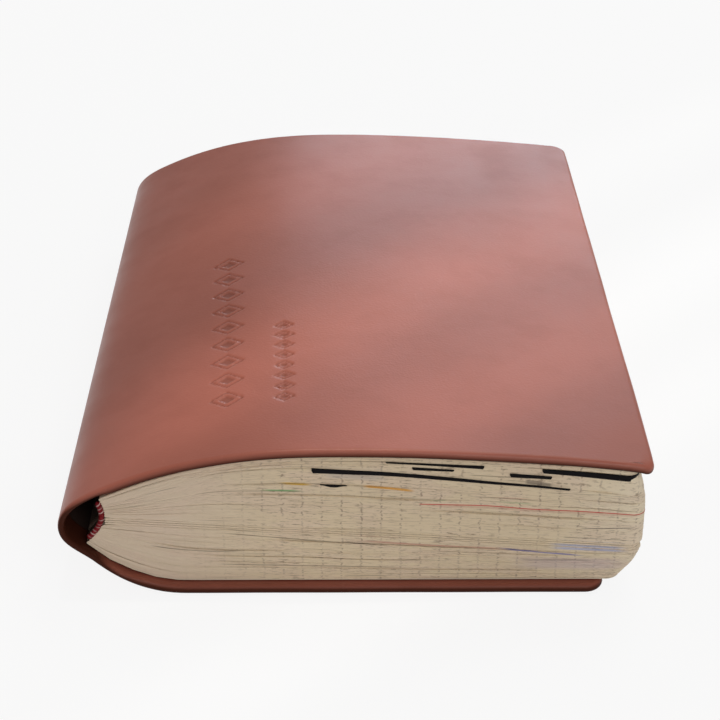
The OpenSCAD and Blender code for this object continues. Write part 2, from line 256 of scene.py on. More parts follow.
def new_piece(name, points, faces, uv=None, rim=None, kinds=None, weld=0.0):
    """A smooth mesh from points in millimetres, with its UV map and an attribute of painted shade."""
    mesh = bpy.data.meshes.new(name)
    points = (np.asarray(points, float).reshape(-1, 3) - FRAME_SHIFT) * MM
    mesh.from_pydata(points.tolist(), [], [list(map(int, f)) for f in faces])
    if rim is not None:
        mesh.attributes.new("rim", "FLOAT", "POINT")
        mesh.attributes["rim"].data.foreach_set("value", np.asarray(rim, np.float32).ravel())
    if kinds is not None:
        mesh.polygons.foreach_set("material_index", np.asarray(kinds, np.int32))
    if uv is not None:
        corner = np.zeros(len(mesh.loops), np.int32)
        mesh.loops.foreach_get("vertex_index", corner)
        layer = mesh.uv_layers.new(name="UVMap")
        layer.data.foreach_set("uv", np.asarray(uv, float).reshape(-1, 2)[corner].ravel())
    if weld:
        bm = bmesh.new()
        bm.from_mesh(mesh)
        bmesh.ops.remove_doubles(bm, verts=bm.verts, dist=weld * MM)
        bmesh.ops.dissolve_degenerate(bm, edges=bm.edges, dist=weld * MM * 0.1)
        bmesh.ops.recalc_face_normals(bm, faces=bm.faces)
        bm.to_mesh(mesh)
        bm.free()
    mesh.polygons.foreach_set("use_smooth", np.ones(len(mesh.polygons), bool))
    mesh.update()
    mesh.set_sharp_from_angle(angle=math.radians(SHARP_ANGLE))
    return add_object(name, mesh)


def dress(piece, *materials):
    """Gives a piece its materials. Clearing also resets each face's material number, so
    it is done only where the mesh came with materials of its own."""
    if len(piece.data.materials):
        piece.data.materials.clear()
    for m in materials:
        piece.data.materials.append(m)
    return piece


# ---- plans with rounded fore-edge corners ----

CORNER_STEPS = 9


def plan_levels(y0, y1, r_tail, r_head, between):
    """Rows of a plan: (y, how far the corner's arc is cut back, outward direction)."""
    a = np.linspace(math.pi / 2, 0, CORNER_STEPS)
    s, c, u, v = 1 - np.sin(a), 1 - np.cos(a), np.cos(a), np.sin(a)
    tail = np.stack([y0 + r_tail * s, r_tail * c, u, -v], 1)
    head = np.stack([y1 - r_head * s, r_head * c, u, v], 1)
    first, last = y0 + r_tail + LEAST_STEP, y1 - r_head - LEAST_STEP
    mid = between[(between > first) & (between < last)]
    mid = np.stack([mid, 0 * mid, 0 * mid + 1, 0 * mid], 1)
    return np.concatenate([tail, mid, head[::-1]])


def plan_grid(x0, x1, r, rows, shares, end_steps):
    """X and Y of a plan: columns at shares of the way to the corners, then the rest."""
    start = x1 - r
    reach = x1 - rows[:, 1]
    fixed = np.broadcast_to(x0 + (start - x0) * shares, (len(rows), len(shares)))
    rest = start + (reach - start)[:, None] * np.linspace(0, 1, end_steps + 1)
    x = np.concatenate([fixed, rest], axis=1)
    return x, np.broadcast_to(rows[:, :1], x.shape)


def around(grid, n):
    """Values of a grid along the tail edge, round the fore-edge and back along the head."""
    return np.concatenate([grid[0, :n], grid[:, -1], grid[-1, n - 1 :: -1]])


def put_around(grid, n, edge):
    """Writes the values that around() reads back into the grid's outline."""
    m = len(grid)
    grid[0, :n], grid[0, n:] = edge[:n], edge[n]
    grid[-1, :n], grid[-1, n:] = edge[: n + m - 1 : -1], edge[n + m - 1]
    grid[:, -1] = edge[n : n + m]
    return grid


def outward(rows, n):
    """Plan directions that go with around(): -Y, round the corners, +Y."""
    tail = np.tile([0.0, -1.0], (n, 1))
    return np.concatenate([tail, rows[:, 2:4], -tail])


# ---- the sewn sections ----

LEAF_TAIL, LEAF_HEAD = SQUARE, ALBUM_H - SQUARE
EDGE_SHARES = np.linspace(0, 1, 121)[:-1]
LEAF_LEVELS = np.linspace(LEAF_TAIL, LEAF_HEAD, 34)
LEAF_ROWS = plan_levels(LEAF_TAIL, LEAF_HEAD, LEAF_CORNER_R, LEAF_CORNER_R, LEAF_LEVELS)
END_STEPS = 4
FOLD_BULGE = 0.16
RIDGE = (-0.07, 0.06)           # how far one leaf edge stands out or in by itself
RIDGE_WAVE, RIDGE_RUN = 0.06, 17.0
GROOVE = 0.24                   # depth of the line between two sections
GAPE_RUN, GAPE_IN, GAPE_RISE = 12.0, 1.1, 0.16
# Waves of the leaves: height, and length along X and Y.
SWAY_BROAD, SWAY_FINE, CENTRE_WAVE = (0.30, 26.0, 40.0), (0.13, 9.0, 16.0), (0.26, 19.0, 29.0)
BORDER_W = 11.0
OPENING_PAD = 0.36              # leaves beside the opening reach this far into its border
# Partings that gape at the tail and head: half, boundary, from x, to x, how deep.
PARTINGS = [
    (0, 7, 52, 112, 0.7),
    (0, 5, 22, 62, 0.5),
    (0, 4, 34, 96, 0.5),
    (0, 2, 60, 128, 0.3),
    (1, 3, 44, 100, 0.4),
    (1, 5, 128, 148, 0.4),
    (1, 2, 96, 140, 0.4),
]


def sway(x, y, share, upper):
    """Height by which the leaves wave: crossed sines that fade at the outer leaves."""
    fade = np.sin(np.pi * np.clip(share, 0, 1)) ** 0.8 * ease((x - 14) / 30)
    (high, run_x, run_y), (high_fine, fine_x, fine_y) = SWAY_BROAD, SWAY_FINE
    broad = waves(x / run_x, y / run_y + share * 1.5, SEED_BROAD + upper)
    fine = waves(x / fine_x, y / fine_y + share * 7, SEED_FINE + upper, 3)
    return fade * (high * broad + high_fine * fine)


def section_back(k, local, upper):
    """Back of a section: the chord between two points of the back, bulged by a fold."""
    low, high = back_point(back_share(k - 1, upper))[0], back_point(back_share(k, upper))[0]
    return mix(low, high, local) - FOLD_BULGE * np.sin(np.pi * local)


def border(x, y):
    """1 along a leaf's outer border, falling to 0 by 11 mm inwards, and 0 at the fold."""
    edge = np.minimum(np.minimum(y, ALBUM_H - y) - SQUARE, FORE_X - 1 - x)
    return (1 - ease(edge / BORDER_W)) * ease((x - BACK_X - 0.1) / 4)


def centre_wave(x, y):
    """The same slow wave for every leaf beside the centre opening, in its border only."""
    high, run_x, run_y = CENTRE_WAVE
    wave = waves(x / run_x, y / run_y, SEED_CENTRE, 3)
    return high * border(x, y) * ease((x - 16) / 20) * wave


def gape_at(x, y, boundary, upper):
    """Depth to which the leaves part at a boundary, only at the tail and the head."""
    gape = np.zeros_like(x)
    at_ends = (y < LEAF_TAIL + 1) | (y > LEAF_HEAD - 1)
    for half, edge, x_from, x_to, deep in PARTINGS:
        if half == int(upper) and edge == boundary:
            gape += deep * at_ends * ease((x - x_from) / GAPE_RUN) * ease((x_to - x) / GAPE_RUN)
    return gape


def section_row(number, j, count, ridge):
    """One row of a section: its outline, the page inside it and the outline's UV. The
    outline stands in or out by its own share, is cut back at a groove or a parting, and
    waves with sway()."""
    upper = number > SECTIONS
    k = number - SECTIONS * upper
    n, local, at_end = len(EDGE_SHARES), j / (count - 1), j in (0, count - 1)
    face, boundary = k - 1 + local, k if local > 0.5 else k - 1
    share = float(leaf_share(face, 0.0, upper))
    xa = section_back(k, local, upper)
    x1 = fore_at(level(FORE_X - 2, leaf_share(face, FORE_X, upper), upper))
    gx, gy = plan_grid(xa, x1, LEAF_CORNER_R, LEAF_ROWS, EDGE_SHARES, END_STEPS)
    px, py = around(gx, n), around(gy, n)
    run = run_along(px, py) + px[0]
    ridge = ridge + RIDGE_WAVE * waves(run / RIDGE_RUN, 0 * run + 9.7 * j, number, 3)
    seam = waves(run / RIDGE_RUN, 0 * run + 5.3 * boundary + 40 * upper, SEED_SEAM, 3)
    groove = ease(0.35 + 0.9 * seam) * at_end
    gape = gape_at(px, py, boundary, upper) * at_end
    out = (ridge - GROOVE * groove - GAPE_IN * gape) * ease((px - xa) / 3 + 0.2)
    plan_out = outward(LEAF_ROWS, n)
    px, py = px + out * plan_out[:, 0], py + out * plan_out[:, 1]
    pz = leaf_height(px, face, upper) + sway(px, py, share, upper)
    pz += (GAPE_RISE if local < 0.5 else -GAPE_RISE) * gape
    gz = leaf_height(gx, face, upper) + sway(gx, gy, share, upper)
    wall, page = np.stack([px, py, pz], 1), np.stack([gx, gy, gz], 2)
    if (number, j) in ((SECTIONS, count - 1), (SECTIONS + 1, 0)):
        for points in (wall, page):
            x, y = points[..., 0], points[..., 1]
            pad = -OPENING_PAD if upper else OPENING_PAD
            points[..., 2] += pad * border(x, y) + centre_wave(x, y)
    return wall, page, np.stack([run, np.full_like(run, share + upper)], 1)


def leaf_pile(name, rows):
    """A pile of leaves as one mesh: rows of its edges, its back and its two outer pages.
    Each row is an outline, the page inside it and the outline's UV."""
    walls, grids, edge_uv = (np.array(part) for part in zip(*rows))
    (count, ring), (m, cols) = walls.shape[:2], grids.shape[1:3]
    backs = grids[:, :, 0].copy()
    backs[:, 0], backs[:, -1] = walls[:, 0], walls[:, -1]
    pages = [put_around(grids[k], len(EDGE_SHARES), walls[k]) for k in (0, -1)]
    parts = [part.reshape(-1, 3) for part in (walls, backs, *pages)]
    starts = np.cumsum([0] + [len(p) for p in parts])
    faces = [
        grid_faces(count, ring, starts[0]),
        grid_faces(count, m, starts[1], flip=True),
        grid_faces(m, cols, starts[2], flip=True),
        grid_faces(m, cols, starts[3]),
    ]
    kinds = np.concatenate([np.full(len(f), kind) for f, kind in zip(faces, (0, 2, 1, 1))])
    uv = np.zeros((starts[-1], 2))
    uv[: starts[1]] = edge_uv.reshape(-1, 2)
    points, faces = np.concatenate(parts), np.concatenate(faces)
    piece = new_piece(name, points, faces, uv=uv, kinds=kinds, weld=0.004)
    return dress(piece, MATERIALS["leaf_edges"], MATERIALS["leaf_page"], MATERIALS["leaf_backs"])


def section_piece(number):
    """One sewn section: a pile of rows, more of them where the section is thicker."""
    upper = number > SECTIONS
    k = number - SECTIONS * upper
    thick = leaf_share(k, 0.0, upper) - leaf_share(k - 1, 0.0, upper)
    count = 5 + 2 * round(20 * thick) if upper else 9
    rng = np.random.default_rng(SEED_SECTION + number)
    rows = [section_row(number, j, count, rng.uniform(*RIDGE)) for j in range(count)]
    piece = leaf_pile(f"leaves_{number:02d}", rows)
    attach(piece, "upper_leaves" if upper else "lower_leaves")
    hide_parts(f"section_{number:02d}")


# ---- the turning leaves ----

TURNING_ROWS = 5
TURNING_SWELL = 0.135           # added on each side along the outer border
TURNING_ROUND = 0.16            # how far the middle of its edge stands out
TURNING_GAP_X = 0.15            # from the fold to the leaf


def turning_row(number, j):
    """One row of a turning leaf, at -1 to 1 of its half thickness: its outline, the page
    inside it and the outline's UV. The plan is turned down by the opening's slope."""
    n, angle = len(EDGE_SHARES), math.atan(OPENING_SLOPE)
    side = 2 * j / (TURNING_ROWS - 1) - 1
    reach = (FORE_X - FOLD_X) / math.cos(angle) - 0.6
    gx, gy = plan_grid(TURNING_GAP_X, reach, LEAF_CORNER_R, LEAF_ROWS, EDGE_SHARES, END_STEPS)
    px, py = around(gx, n), around(gy, n)
    run = run_along(px, py) + px[0] + FOLD_X
    ridge = 0.05 * waves(run / 13, 0 * run + 7 * number + j, SEED_TURNING + j, 3)
    out = (ridge - TURNING_ROUND * side**2) * ease(px / 3)
    plan_out = outward(LEAF_ROWS, n)
    layers = []
    for x, y in ((px + out * plan_out[:, 0], py + out * plan_out[:, 1]), (gx, gy)):
        h = (number - 1) * (LEAF_T + LEAF_GAP) + centre_wave(FOLD_X + x, y)
        h = h + side * (LEAF_T / 2 + TURNING_SWELL * border(FOLD_X + x, y))
        slid = FOLD_X + x * math.cos(angle) + h * math.sin(angle)
        layers.append(np.stack([slid, y, FOLD_Z - x * math.sin(angle) + h * math.cos(angle)], -1))
    share = 1 + ((number - 1) * 0.65 + side * 0.3) / 14
    return *layers, np.stack([run, np.full_like(run, share)], 1)


def turning_leaf(number, node):
    """A stiffened leaf at the centre opening: 0.35 mm thick, and 0.62 mm at its border."""
    piece = leaf_pile(f"{node}_paper", [turning_row(number, j) for j in range(TURNING_ROWS)])
    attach(piece, node)
    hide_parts(node)


# ---- the padded cover panels ----

ROLL = 1.3                      # how far the rounded edge stands out
RIM_POWER = 0.95
SKIN = COVER_T - 0.03           # a cover's thickness at its turned-in edges
PASTE_RECESS = 0.25             # how far the pasted-down sheet's bed is sunk
TAIL_CORNER_R = 3.0
SOFT_H = 0.09
CORNER_SAGS = ((0.4, 24), (0.9, 4.5))    # drop of the front cover's tail corner, and reach
PANEL_END_STEPS = 8
RIM_STEPS = 13
INSIDE_RIM = 0.34               # painted shade on a cover's inside and in the hollows of its tooling
TUBE_SHADE = 4.5                # painted shade added to the leather of the hollow spine
# Rows of lozenges: centre, lean, from y, to y, how many, half width.
TOOLED_ROWS = ((42.0, -0.045, 24, 117, 9, 4.9), (57.0, -0.03, 25, 71, 8, 2.9))
LINE_DEPTH, HEART_DEPTH = 0.42, 0.36
# The finer stretch of the front cover's mesh, under the tooling.
FINE_X, FINE_Y = np.arange(33.0, 62.0, 0.42), np.arange(22.0, 120.0, 0.62)


def rim_profile(a):
    """Rounded edge for an angle from 0 to pi: how far out, and the share of its depth."""
    down = (1 - np.sign(np.cos(a)) * np.abs(np.cos(a)) ** RIM_POWER) / 2
    return np.sin(a) ** RIM_POWER, down


def rim_shade(down, low):
    """Painted shade on the edge at a share of its depth: darker towards the leaves on the
    upper side (low 0), and darkest at its outside on the lower side (low 1)."""
    upper_side = ease((down - 0.02) / 0.80)
    lower_side = ease(down / 0.07) * (1.0 - 0.60 * ease((down - 0.52) / 0.46))
    return mix(upper_side, lower_side, low)


def deboss(x, y):
    """Depth of the blind tooling: rows of plain lozenges, each a line round a sunk heart."""
    deep = np.zeros(np.broadcast(x, y).shape)
    for centre, lean, y0, y1, count, half in TOOLED_ROWS:
        pitch = (y1 - y0) / count
        along = (y - y0) / pitch
        cell = np.abs(along - np.floor(along) - 0.5) * pitch
        off = np.abs(x - centre - lean * (y - y0))
        inside_row = (y > y0) & (y < y1)
        lozenge = 1 - (off / half + cell / (pitch * 0.42))
        line = np.abs(lozenge - 0.12) * half
        deep += inside_row * LINE_DEPTH * (1 - ease(line / 0.6))
        deep += inside_row * HEART_DEPTH * ease((lozenge - 0.45) * 6)
    return deep


def soft(x, y):
    """Slow rises and falls of the padding, faded out at the hinge."""
    return SOFT_H * waves(x / 27, y / 38, SEED_SOFT, 3) * ease((x - 26) / 25)


def sag(x, y, top):
    """The tail corner of the front cover droops a little, most of all at its very tip."""
    if not top:
        return 0.0 * x
    away = np.hypot(ALBUM_W - x, y)
    return sum(drop * (1 - ease(away / reach)) for drop, reach in CORNER_SAGS)


def panel_point(x, y, depth, top):
    """A point of a cover at a depth under its outside, with its softness and its sag."""
    px, pz = inside(over if top else under, x, depth)
    pz = pz - sag(x, y, top)
    if top:
        pz = pz + soft(x, y)
    return np.stack(np.broadcast_arrays(px, y, pz), -1)


def spaced(values, least):
    """Sorted values, without those that follow the one before them too closely."""
    values = np.unique(values)
    return values[np.concatenate([[True], np.diff(values) > least])]


def panel_plan(top, x0, x1):
    """Rows of a cover's plan, and the shares of the way to its corners of its columns."""
    between, columns = np.linspace(0, ALBUM_H, 72), np.linspace(x0, x1 - CORNER_R, 70)[:-1]
    if top:
        between = spaced(np.concatenate([between, FINE_Y]), 0.25)
        columns = spaced(np.concatenate([columns, FINE_X]), 0.15)
    tail_r = (TAIL_CORNER_R if top else CORNER_R) - ROLL
    rows = plan_levels(ROLL, ALBUM_H - ROLL, tail_r, CORNER_R - ROLL, between)
    return rows, (columns - x0) / (x1 - CORNER_R - x0)


def panel_rim(px, py, direction, top):
    """The loops of a cover's rounded edge, from its outside to its inside, and the painted
    shade of each one."""
    loops, rims = [], []
    for a in np.linspace(0, np.pi, RIM_STEPS):
        out, down = rim_profile(a)
        out = out * ROLL * (1 + 0.09 * waves(px / 11, py / 13, SEED_ROLL, 3))
        x, y = px + out * direction[:, 0], py + out * direction[:, 1]
        loops.append(panel_point(x, y, SKIN * down, top))
        rims.append(np.full(len(px), rim_shade(down, 0.0 if top else 1.0)))
    return np.array(loops), np.array(rims)


def cover_panel(top):
    """A cover: its outside and its inside on one plan, joined by a rounded edge whose
    profile is rim_profile(). The front cover's tail corner is the sharper one."""
    x0 = FRONT_HINGE_X if top else BACK_HINGE_X
    x1 = ALBUM_W if top else BACK_REACH
    rows, shares = panel_plan(top, x0, x1)
    m, n, cols = len(rows), len(shares), len(shares) + PANEL_END_STEPS + 1
    gx, gy = plan_grid(x0, x1 - ROLL, CORNER_R - ROLL, rows, shares, PANEL_END_STEPS)
    sunk = deboss(gx, gy) if top else 0 * gx
    edge = np.minimum(np.minimum(gy, ALBUM_H - gy), x1 - gx)
    outer = panel_point(gx, gy, sunk, top)
    inner = panel_point(gx, gy, SKIN - PASTE_RECESS * ease((edge - TURN_IN + 1.2) / 0.5), top)
    loops, rims = panel_rim(around(gx, n), around(gy, n), outward(rows, n), top)
    loops[0], loops[-1] = around(outer, n), around(inner, n)
    parts = [outer.reshape(-1, 3), inner.reshape(-1, 3), loops.reshape(-1, 3)]
    starts = np.cumsum([0] + [len(p) for p in parts])
    # The hollows of the tooling and the cover's inside get painted shade; the edge gets rim_shade().
    tooled = INSIDE_RIM * ease(sunk / HEART_DEPTH)
    rim = np.concatenate([tooled.ravel(), np.full(gx.size, INSIDE_RIM), rims.ravel()])
    hinge = np.arange(m) * cols
    hinge = np.stack([hinge[:-1], hinge[1:], hinge[1:] + starts[1], hinge[:-1] + starts[1]], 1)
    faces = [grid_faces(m, cols, 0), grid_faces(m, cols, starts[1], flip=True)]
    faces += [grid_faces(RIM_STEPS, loops.shape[1], starts[2]), hinge]
    name = "front_cover_padding" if top else "back_cover_padding"
    piece = new_piece(name, np.concatenate(parts), np.concatenate(faces), rim=rim, weld=0.004)
    dress(piece, MATERIALS["leatherette"])
    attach(piece, "front_cover" if top else "back_cover")
    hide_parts("front_cover_leather" if top else "back_cover_leather")


# ---- the leatherette and its lining round the hollow spine ----


TOP_STATIONS, CURVE_STATIONS, LOW_STATIONS = 19, 26, 36
LINING_DEPTHS = 1.16, 1.4       # outside and inside of the lining, under the leather's outside
END_RUN = 12                    # stretch at the tail and head with closer rows
BAND_Y = np.unique(np.concatenate([
    np.linspace(0, END_RUN, 25),
    np.linspace(END_RUN, ALBUM_H - END_RUN, 60),
    ALBUM_H - np.linspace(0, END_RUN, 25),
]))
LEAVES = ("lower_leaves", "upper_leaves")


def handle(curve, x, length):
    """A step of some length along an outside curve at x."""
    m, r = slope(curve, x), steep(curve, x)
    return np.array([length / r, length * m / r])


def cubic(a, b, c, d, t):
    """A Bezier curve from a to d with the handles b and c."""
    t = t[:, None]
    return (1 - t) ** 3 * a + 3 * (1 - t) ** 2 * t * b + 3 * (1 - t) * t * t * c + t**3 * d


def spine_path():
    """Outside of the spine from the front hinge to the back hinge, as (x, z): the front
    cover's curve, two Bezier curves that meet at the outermost line, the back cover's."""
    shoulder, heel = np.float64(SHOULDER_X), np.float64(TUBE_LOW_X)
    top, low = np.array([shoulder, over(shoulder)]), np.array([heel, under(heel)])
    side, pull = np.array([0, SPINE_Z]), np.array([0, TUBE_PULL])
    t = np.linspace(0, 1, CURVE_STATIONS)[1:]
    x_top = np.linspace(FRONT_HINGE_X, SHOULDER_X, TOP_STATIONS)
    x_low = np.linspace(TUBE_LOW_X, BACK_HINGE_X, LOW_STATIONS)[1:]
    return np.concatenate([
        np.stack([x_top, over(x_top)], 1),
        cubic(top, top - handle(over, shoulder, TUBE_PULL), side + pull, side, t),
        cubic(side, side - pull, low - handle(under, heel, TUBE_PULL), low, t),
        np.stack([x_low, under(x_low)], 1),
    ])


def band_section(ys, roll):
    """A closed outline of a band along Y: its y, and its share of the way from the band's
    outside to its inside, with both ends rounded by half an ellipse of length roll. Also
    says which of its points lie on the inside."""
    out, down = rim_profile(np.linspace(0, np.pi, 11))
    mid = ys[(ys > ys[0] + roll + LEAST_STEP) & (ys < ys[-1] - roll - LEAST_STEP)]
    lead, tail = ys[0] + roll * (1 - out), ys[-1] - roll * (1 - out)
    y = np.concatenate([mid, tail, mid[::-1], lead[::-1]])
    share = np.concatenate([0 * mid, down, 0 * mid + 1, down[::-1]])
    return y, share, slice(len(mid) + len(down) + 1, 2 * len(mid) + len(down) - 1)


def band_shade(share, low, on_inside):
    """Painted shade of a band: its rim_shade(), and more painted shade all through where the
    spine is a hollow tube, between low 0 and 1."""
    tube = TUBE_SHADE * low[:, None] * (1 - low[:, None]) * ease(share / 0.25)
    rim = np.where(share > 0, np.minimum(rim_shade(share, low[:, None]) + tube, 1), 0)
    rim[:, on_inside] = np.minimum(rim[:, on_inside], INSIDE_RIM + tube[:, on_inside])
    return rim


def band(name, path, normals, outer, inner, ys, roll, low, finish, slot_name):
    """A closed band along a path, between the depths outer and inner(station, y). low is
    0 to 1 for each station, from the front cover's side to the back cover's."""
    y, share, on_inside = band_section(ys, roll)
    y, share = y[None], share[None]
    depth = mix(outer, inner(np.arange(len(path))[:, None], y), share)
    x, z = path[:, :1] + normals[:, :1] * depth, path[:, 1:] + normals[:, 1:] * depth
    points = np.stack(np.broadcast_arrays(x, y, z), -1)
    count, last = y.size, (len(path) - 1) * y.size
    ring = np.append(np.arange(count), 0)
    rows = np.arange(len(path) - 1)[:, None] * count
    near, far = rows + ring, rows + count + ring
    faces = np.stack([near[:, :-1], far[:, :-1], far[:, 1:], near[:, 1:]], -1).reshape(-1, 4)
    caps = [list(range(count)), list(range(last, last + count))[::-1]]
    rim = band_shade(share, low, on_inside)
    piece = new_piece(name, points, [*faces.tolist(), *caps], rim=rim, weld=0.001)
    dress(piece, MATERIALS[finish])
    return piece


def cover_bands():
    """The leatherette between the two covers, in three pieces: the front hinge, the hollow
    spine and the back hinge; and the paper that lines the hollow spine."""
    path = spine_path()
    normals = directions(path)[1]
    x, on_top = path[:, 0], np.arange(len(path)) < TOP_STATIONS + CURVE_STATIONS - 1
    to_front = ease((x - SHOULDER_X) / (FRONT_HINGE_X - SHOULDER_X))
    full = np.where(on_top, to_front, ease((x - 14) / (BACK_HINGE_X - 14)))
    cut_top, cut_low = TOP_STATIONS - 1, int(np.argmin(np.abs(x - 14.2) + 99 * on_top))
    low = ease((np.arange(len(path)) - cut_top) / (cut_low - cut_top))
    look = ("leatherette", "cover_leatherette")
    for first, last, name, bodies, start, end, nodes in (
        (0, cut_top, "front_hinge_leather", ("upper_leaves", "front_cover"),
         (10.2, 31), (14, 31), []),
        (cut_top, cut_low, "spine_leather_tube", LEAVES,
         (2, 10), (2, 30), ["spine_leather"]),
        (cut_low, len(path) - 1, "back_hinge_leather", ("lower_leaves", "back_cover"),
         (17.5, 2), (21.5, 2), []),
    ):
        pick = slice(first, last + 1)

        def inner(station, y, thick=full[pick]):
            """One layer of leather, two where it is turned in, and a cover's thickness."""
            turned = 1 - ease((np.minimum(y, ALBUM_H - y) - TURN_IN) / 0.8)
            return mix(1.15 + 0.6 * turned, SKIN, thick[station])

        piece = band(name, path[pick], normals[pick], 0.0, inner, BAND_Y, ROLL, low[pick], *look)
        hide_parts(*nodes)
        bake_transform(piece)
    pick = slice(cut_top, cut_low + 1)
    between = BAND_Y[(BAND_Y > TURN_IN - 0.6) & (BAND_Y < ALBUM_H - TURN_IN + 0.6)]
    lining = band(
        "spine_lining_paper", path[pick], normals[pick], LINING_DEPTHS[0],
        lambda station, y: LINING_DEPTHS[1] + 0 * station * y,
        between, 0.3, 0 * low[pick], "lining", "spine_lining",
    )
    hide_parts("spine_lining")
    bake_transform(lining)


# ---- headbands and gauze ----

CORD_R, CORD_GAP = 0.60, 0.86   # the headband's cord, and its axis off the leaves' backs
WINDING_PITCH = 1.15
CORD_SIDES = 16
# The gauze: where its flanges end on the upper and the lower side, its gaps above the
# leaves, behind their backs and below them, its distance from head and tail, and its
# thickness.
GAUZE_X = (12.5, 19.5)
GAUZE_GAPS = (0.24, 0.30, 0.16)
GAUZE_INSET, GAUZE_T = 6.0, 0.15


def back_line(q_values, gap):
    """The back of the leaves moved out by a gap along its normal, as (x, z)."""
    line = np.stack(back_point(q_values), 1)
    return line + gap * directions(line)[1]


def headband(name, y, node):
    """Silk wound over a cord: a tube along the back whose radius swells in helical turns,
    r = 0.6 (1 + 0.22 |sin(turn)|), with the turns in its UV map."""
    line = back_line(np.linspace(0.075, 0.965, 190), CORD_GAP)
    length, normals = run_along(line[:, 0], line[:, 1]), directions(line)[1]
    turn = np.linspace(0, 2 * np.pi, CORD_SIDES + 1)
    winding = length[:, None] / WINDING_PITCH + turn[None] / (2 * np.pi)
    radius = CORD_R * (1 + 0.22 * np.abs(np.sin(np.pi * winding)))
    radius *= np.sqrt(np.clip(np.minimum(length, length[-1] - length) / 0.5, 0.02, 1))[:, None]
    across = radius * np.cos(turn)
    x, z = line[:, :1] + normals[:, :1] * across, line[:, 1:] + normals[:, 1:] * across
    points = np.stack([x, y + radius * np.sin(turn) * 1.15, z], -1)
    uv = np.stack([np.broadcast_to(length[:, None], winding.shape), winding], -1)
    faces = grid_faces(len(line), len(turn))
    first = np.arange(CORD_SIDES)
    ends = [first.tolist(), (first + (len(line) - 1) * len(turn)).tolist()]
    piece = new_piece(name, points, [*faces.tolist(), *ends], uv=uv, weld=0.0005)
    dress(piece, MATERIALS["headband_silk"])
    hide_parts(node)
    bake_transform(piece)


def gauze():
    """A strip of gauze over the backs, with its flanges on the outer leaves."""
    top_x = np.linspace(GAUZE_X[0], BACK_X, 5)[:-1]
    low_x = np.linspace(HEEL_X, GAUZE_X[1], 14)[1:]
    above, behind, below = GAUZE_GAPS
    back = back_line(np.linspace(0, 1, 60), behind)[::-1]
    over_leaves = np.stack([top_x, block_high(top_x) + above * steep(over, top_x)], 1)
    under_leaves = np.stack([low_x, block_low(low_x) - below * steep(under, low_x)], 1)
    line = np.concatenate([over_leaves, back, under_leaves])
    y = np.linspace(LEAF_TAIL + GAUZE_INSET, LEAF_HEAD - GAUZE_INSET, 60)
    points = np.stack(np.broadcast_arrays(line[:, :1], y[None], line[:, 1:]), -1)
    piece = new_piece("mull_gauze", points, grid_faces(len(line), len(y), flip=True))
    solid = piece.modifiers.new("thread_thickness", "SOLIDIFY")
    solid.thickness = GAUZE_T * MM
    dress(piece, MATERIALS["gauze"])
    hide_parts("mull")
    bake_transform(piece)


# ---- black film strips and stamps ----

# Strips that reach the tail edge: the face above them, from x, to x, thickness there,
# and the length over which their ends taper.
FILM_STRIPS = [
    (5, 64.2, 129.2, 1.24, 0.45, 0.3),
    (7, 82.7, 107.3, 0.25, 0.85, 0.3),
    (6, 89.3, 99.8, 0.75, 0.45, 0.3),
    (6, 113.8, 124.4, 0.95, 0.75, 0.3),
    (7, 121.9, 146.6, 1.05, 1.70, 0.3),
    (4, 66.3, 73.0, 0.65, 0.60, 2.6),
]
STRIP_DEPTH = 25.0
FILM_PROUD = 0.22               # how far the strips stand out of the tail edge
FILM_UNDER = 0.03               # from the leaf above to a strip
FILM_END = 0.3                  # length of the first and last step along a strip


def film_strip(face, x_from, x_to, t_from, t_to, end):
    """The upper and the lower grid of a thin wedge under a waving leaf: its thickness runs
    from t_from to t_to along X, and its ends taper."""
    x = np.concatenate([[x_from], np.linspace(x_from + FILM_END, x_to - FILM_END, 34), [x_to]])
    gx, gy = np.meshgrid(x, [-FILM_PROUD, 3, 10, STRIP_DEPTH])
    past = np.clip(gx - fore_at(leaf_height(gx, face, True)) + LEAF_CORNER_R, 0, LEAF_CORNER_R)
    gy = gy + SQUARE + LEAF_CORNER_R - np.sqrt(LEAF_CORNER_R**2 - past**2)
    z_top = leaf_height(gx, face, True) + sway(gx, gy, NEAR_STEPS[face], True) - FILM_UNDER
    taper = np.clip(np.minimum(gx - x_from, x_to - gx) / end, 0.45 if end < 1 else 0.2, 1)
    z_low = z_top - mix(t_from, t_to, (gx - x_from) / (x_to - x_from)) * taper
    return np.stack([gx, gy, z_top], -1), np.stack([gx, gy, z_low], -1)


def film_strips():
    """Black mounts between the leaves, each a closed wedge of film_strip()'s two grids."""
    points, faces = [], []
    for number, strip in enumerate(FILM_STRIPS):
        top, low = film_strip(*strip)
        rows, cols = top.shape[:2]
        size = rows * cols
        start = 2 * size * number
        points += [top.reshape(-1, 3), low.reshape(-1, 3)]
        faces += [grid_faces(rows, cols, start), grid_faces(rows, cols, start + size, flip=True)]
        ring = start + np.concatenate([
            np.arange(cols), np.arange(2, rows + 1) * cols - 1,
            size - 2 - np.arange(cols - 1), np.arange(rows - 2, -1, -1) * cols,
        ])
        faces.append(np.stack([ring[:-1], ring[:-1] + size, ring[1:] + size, ring[1:]], 1))
    piece = new_piece("black_film_strips", np.concatenate(points), np.concatenate(faces), weld=0.001)
    dress(piece, MATERIALS["mount_film"])
    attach(piece, "upper_leaves")
    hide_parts("black_mount_strips")


STAMP_W, STAMP_H, STAMP_T = 26.0, 36.0, 0.12
TOOTH_STEPS = 4
STAMP_SUNK = 0.2                # from the opening's side to a stamp's back


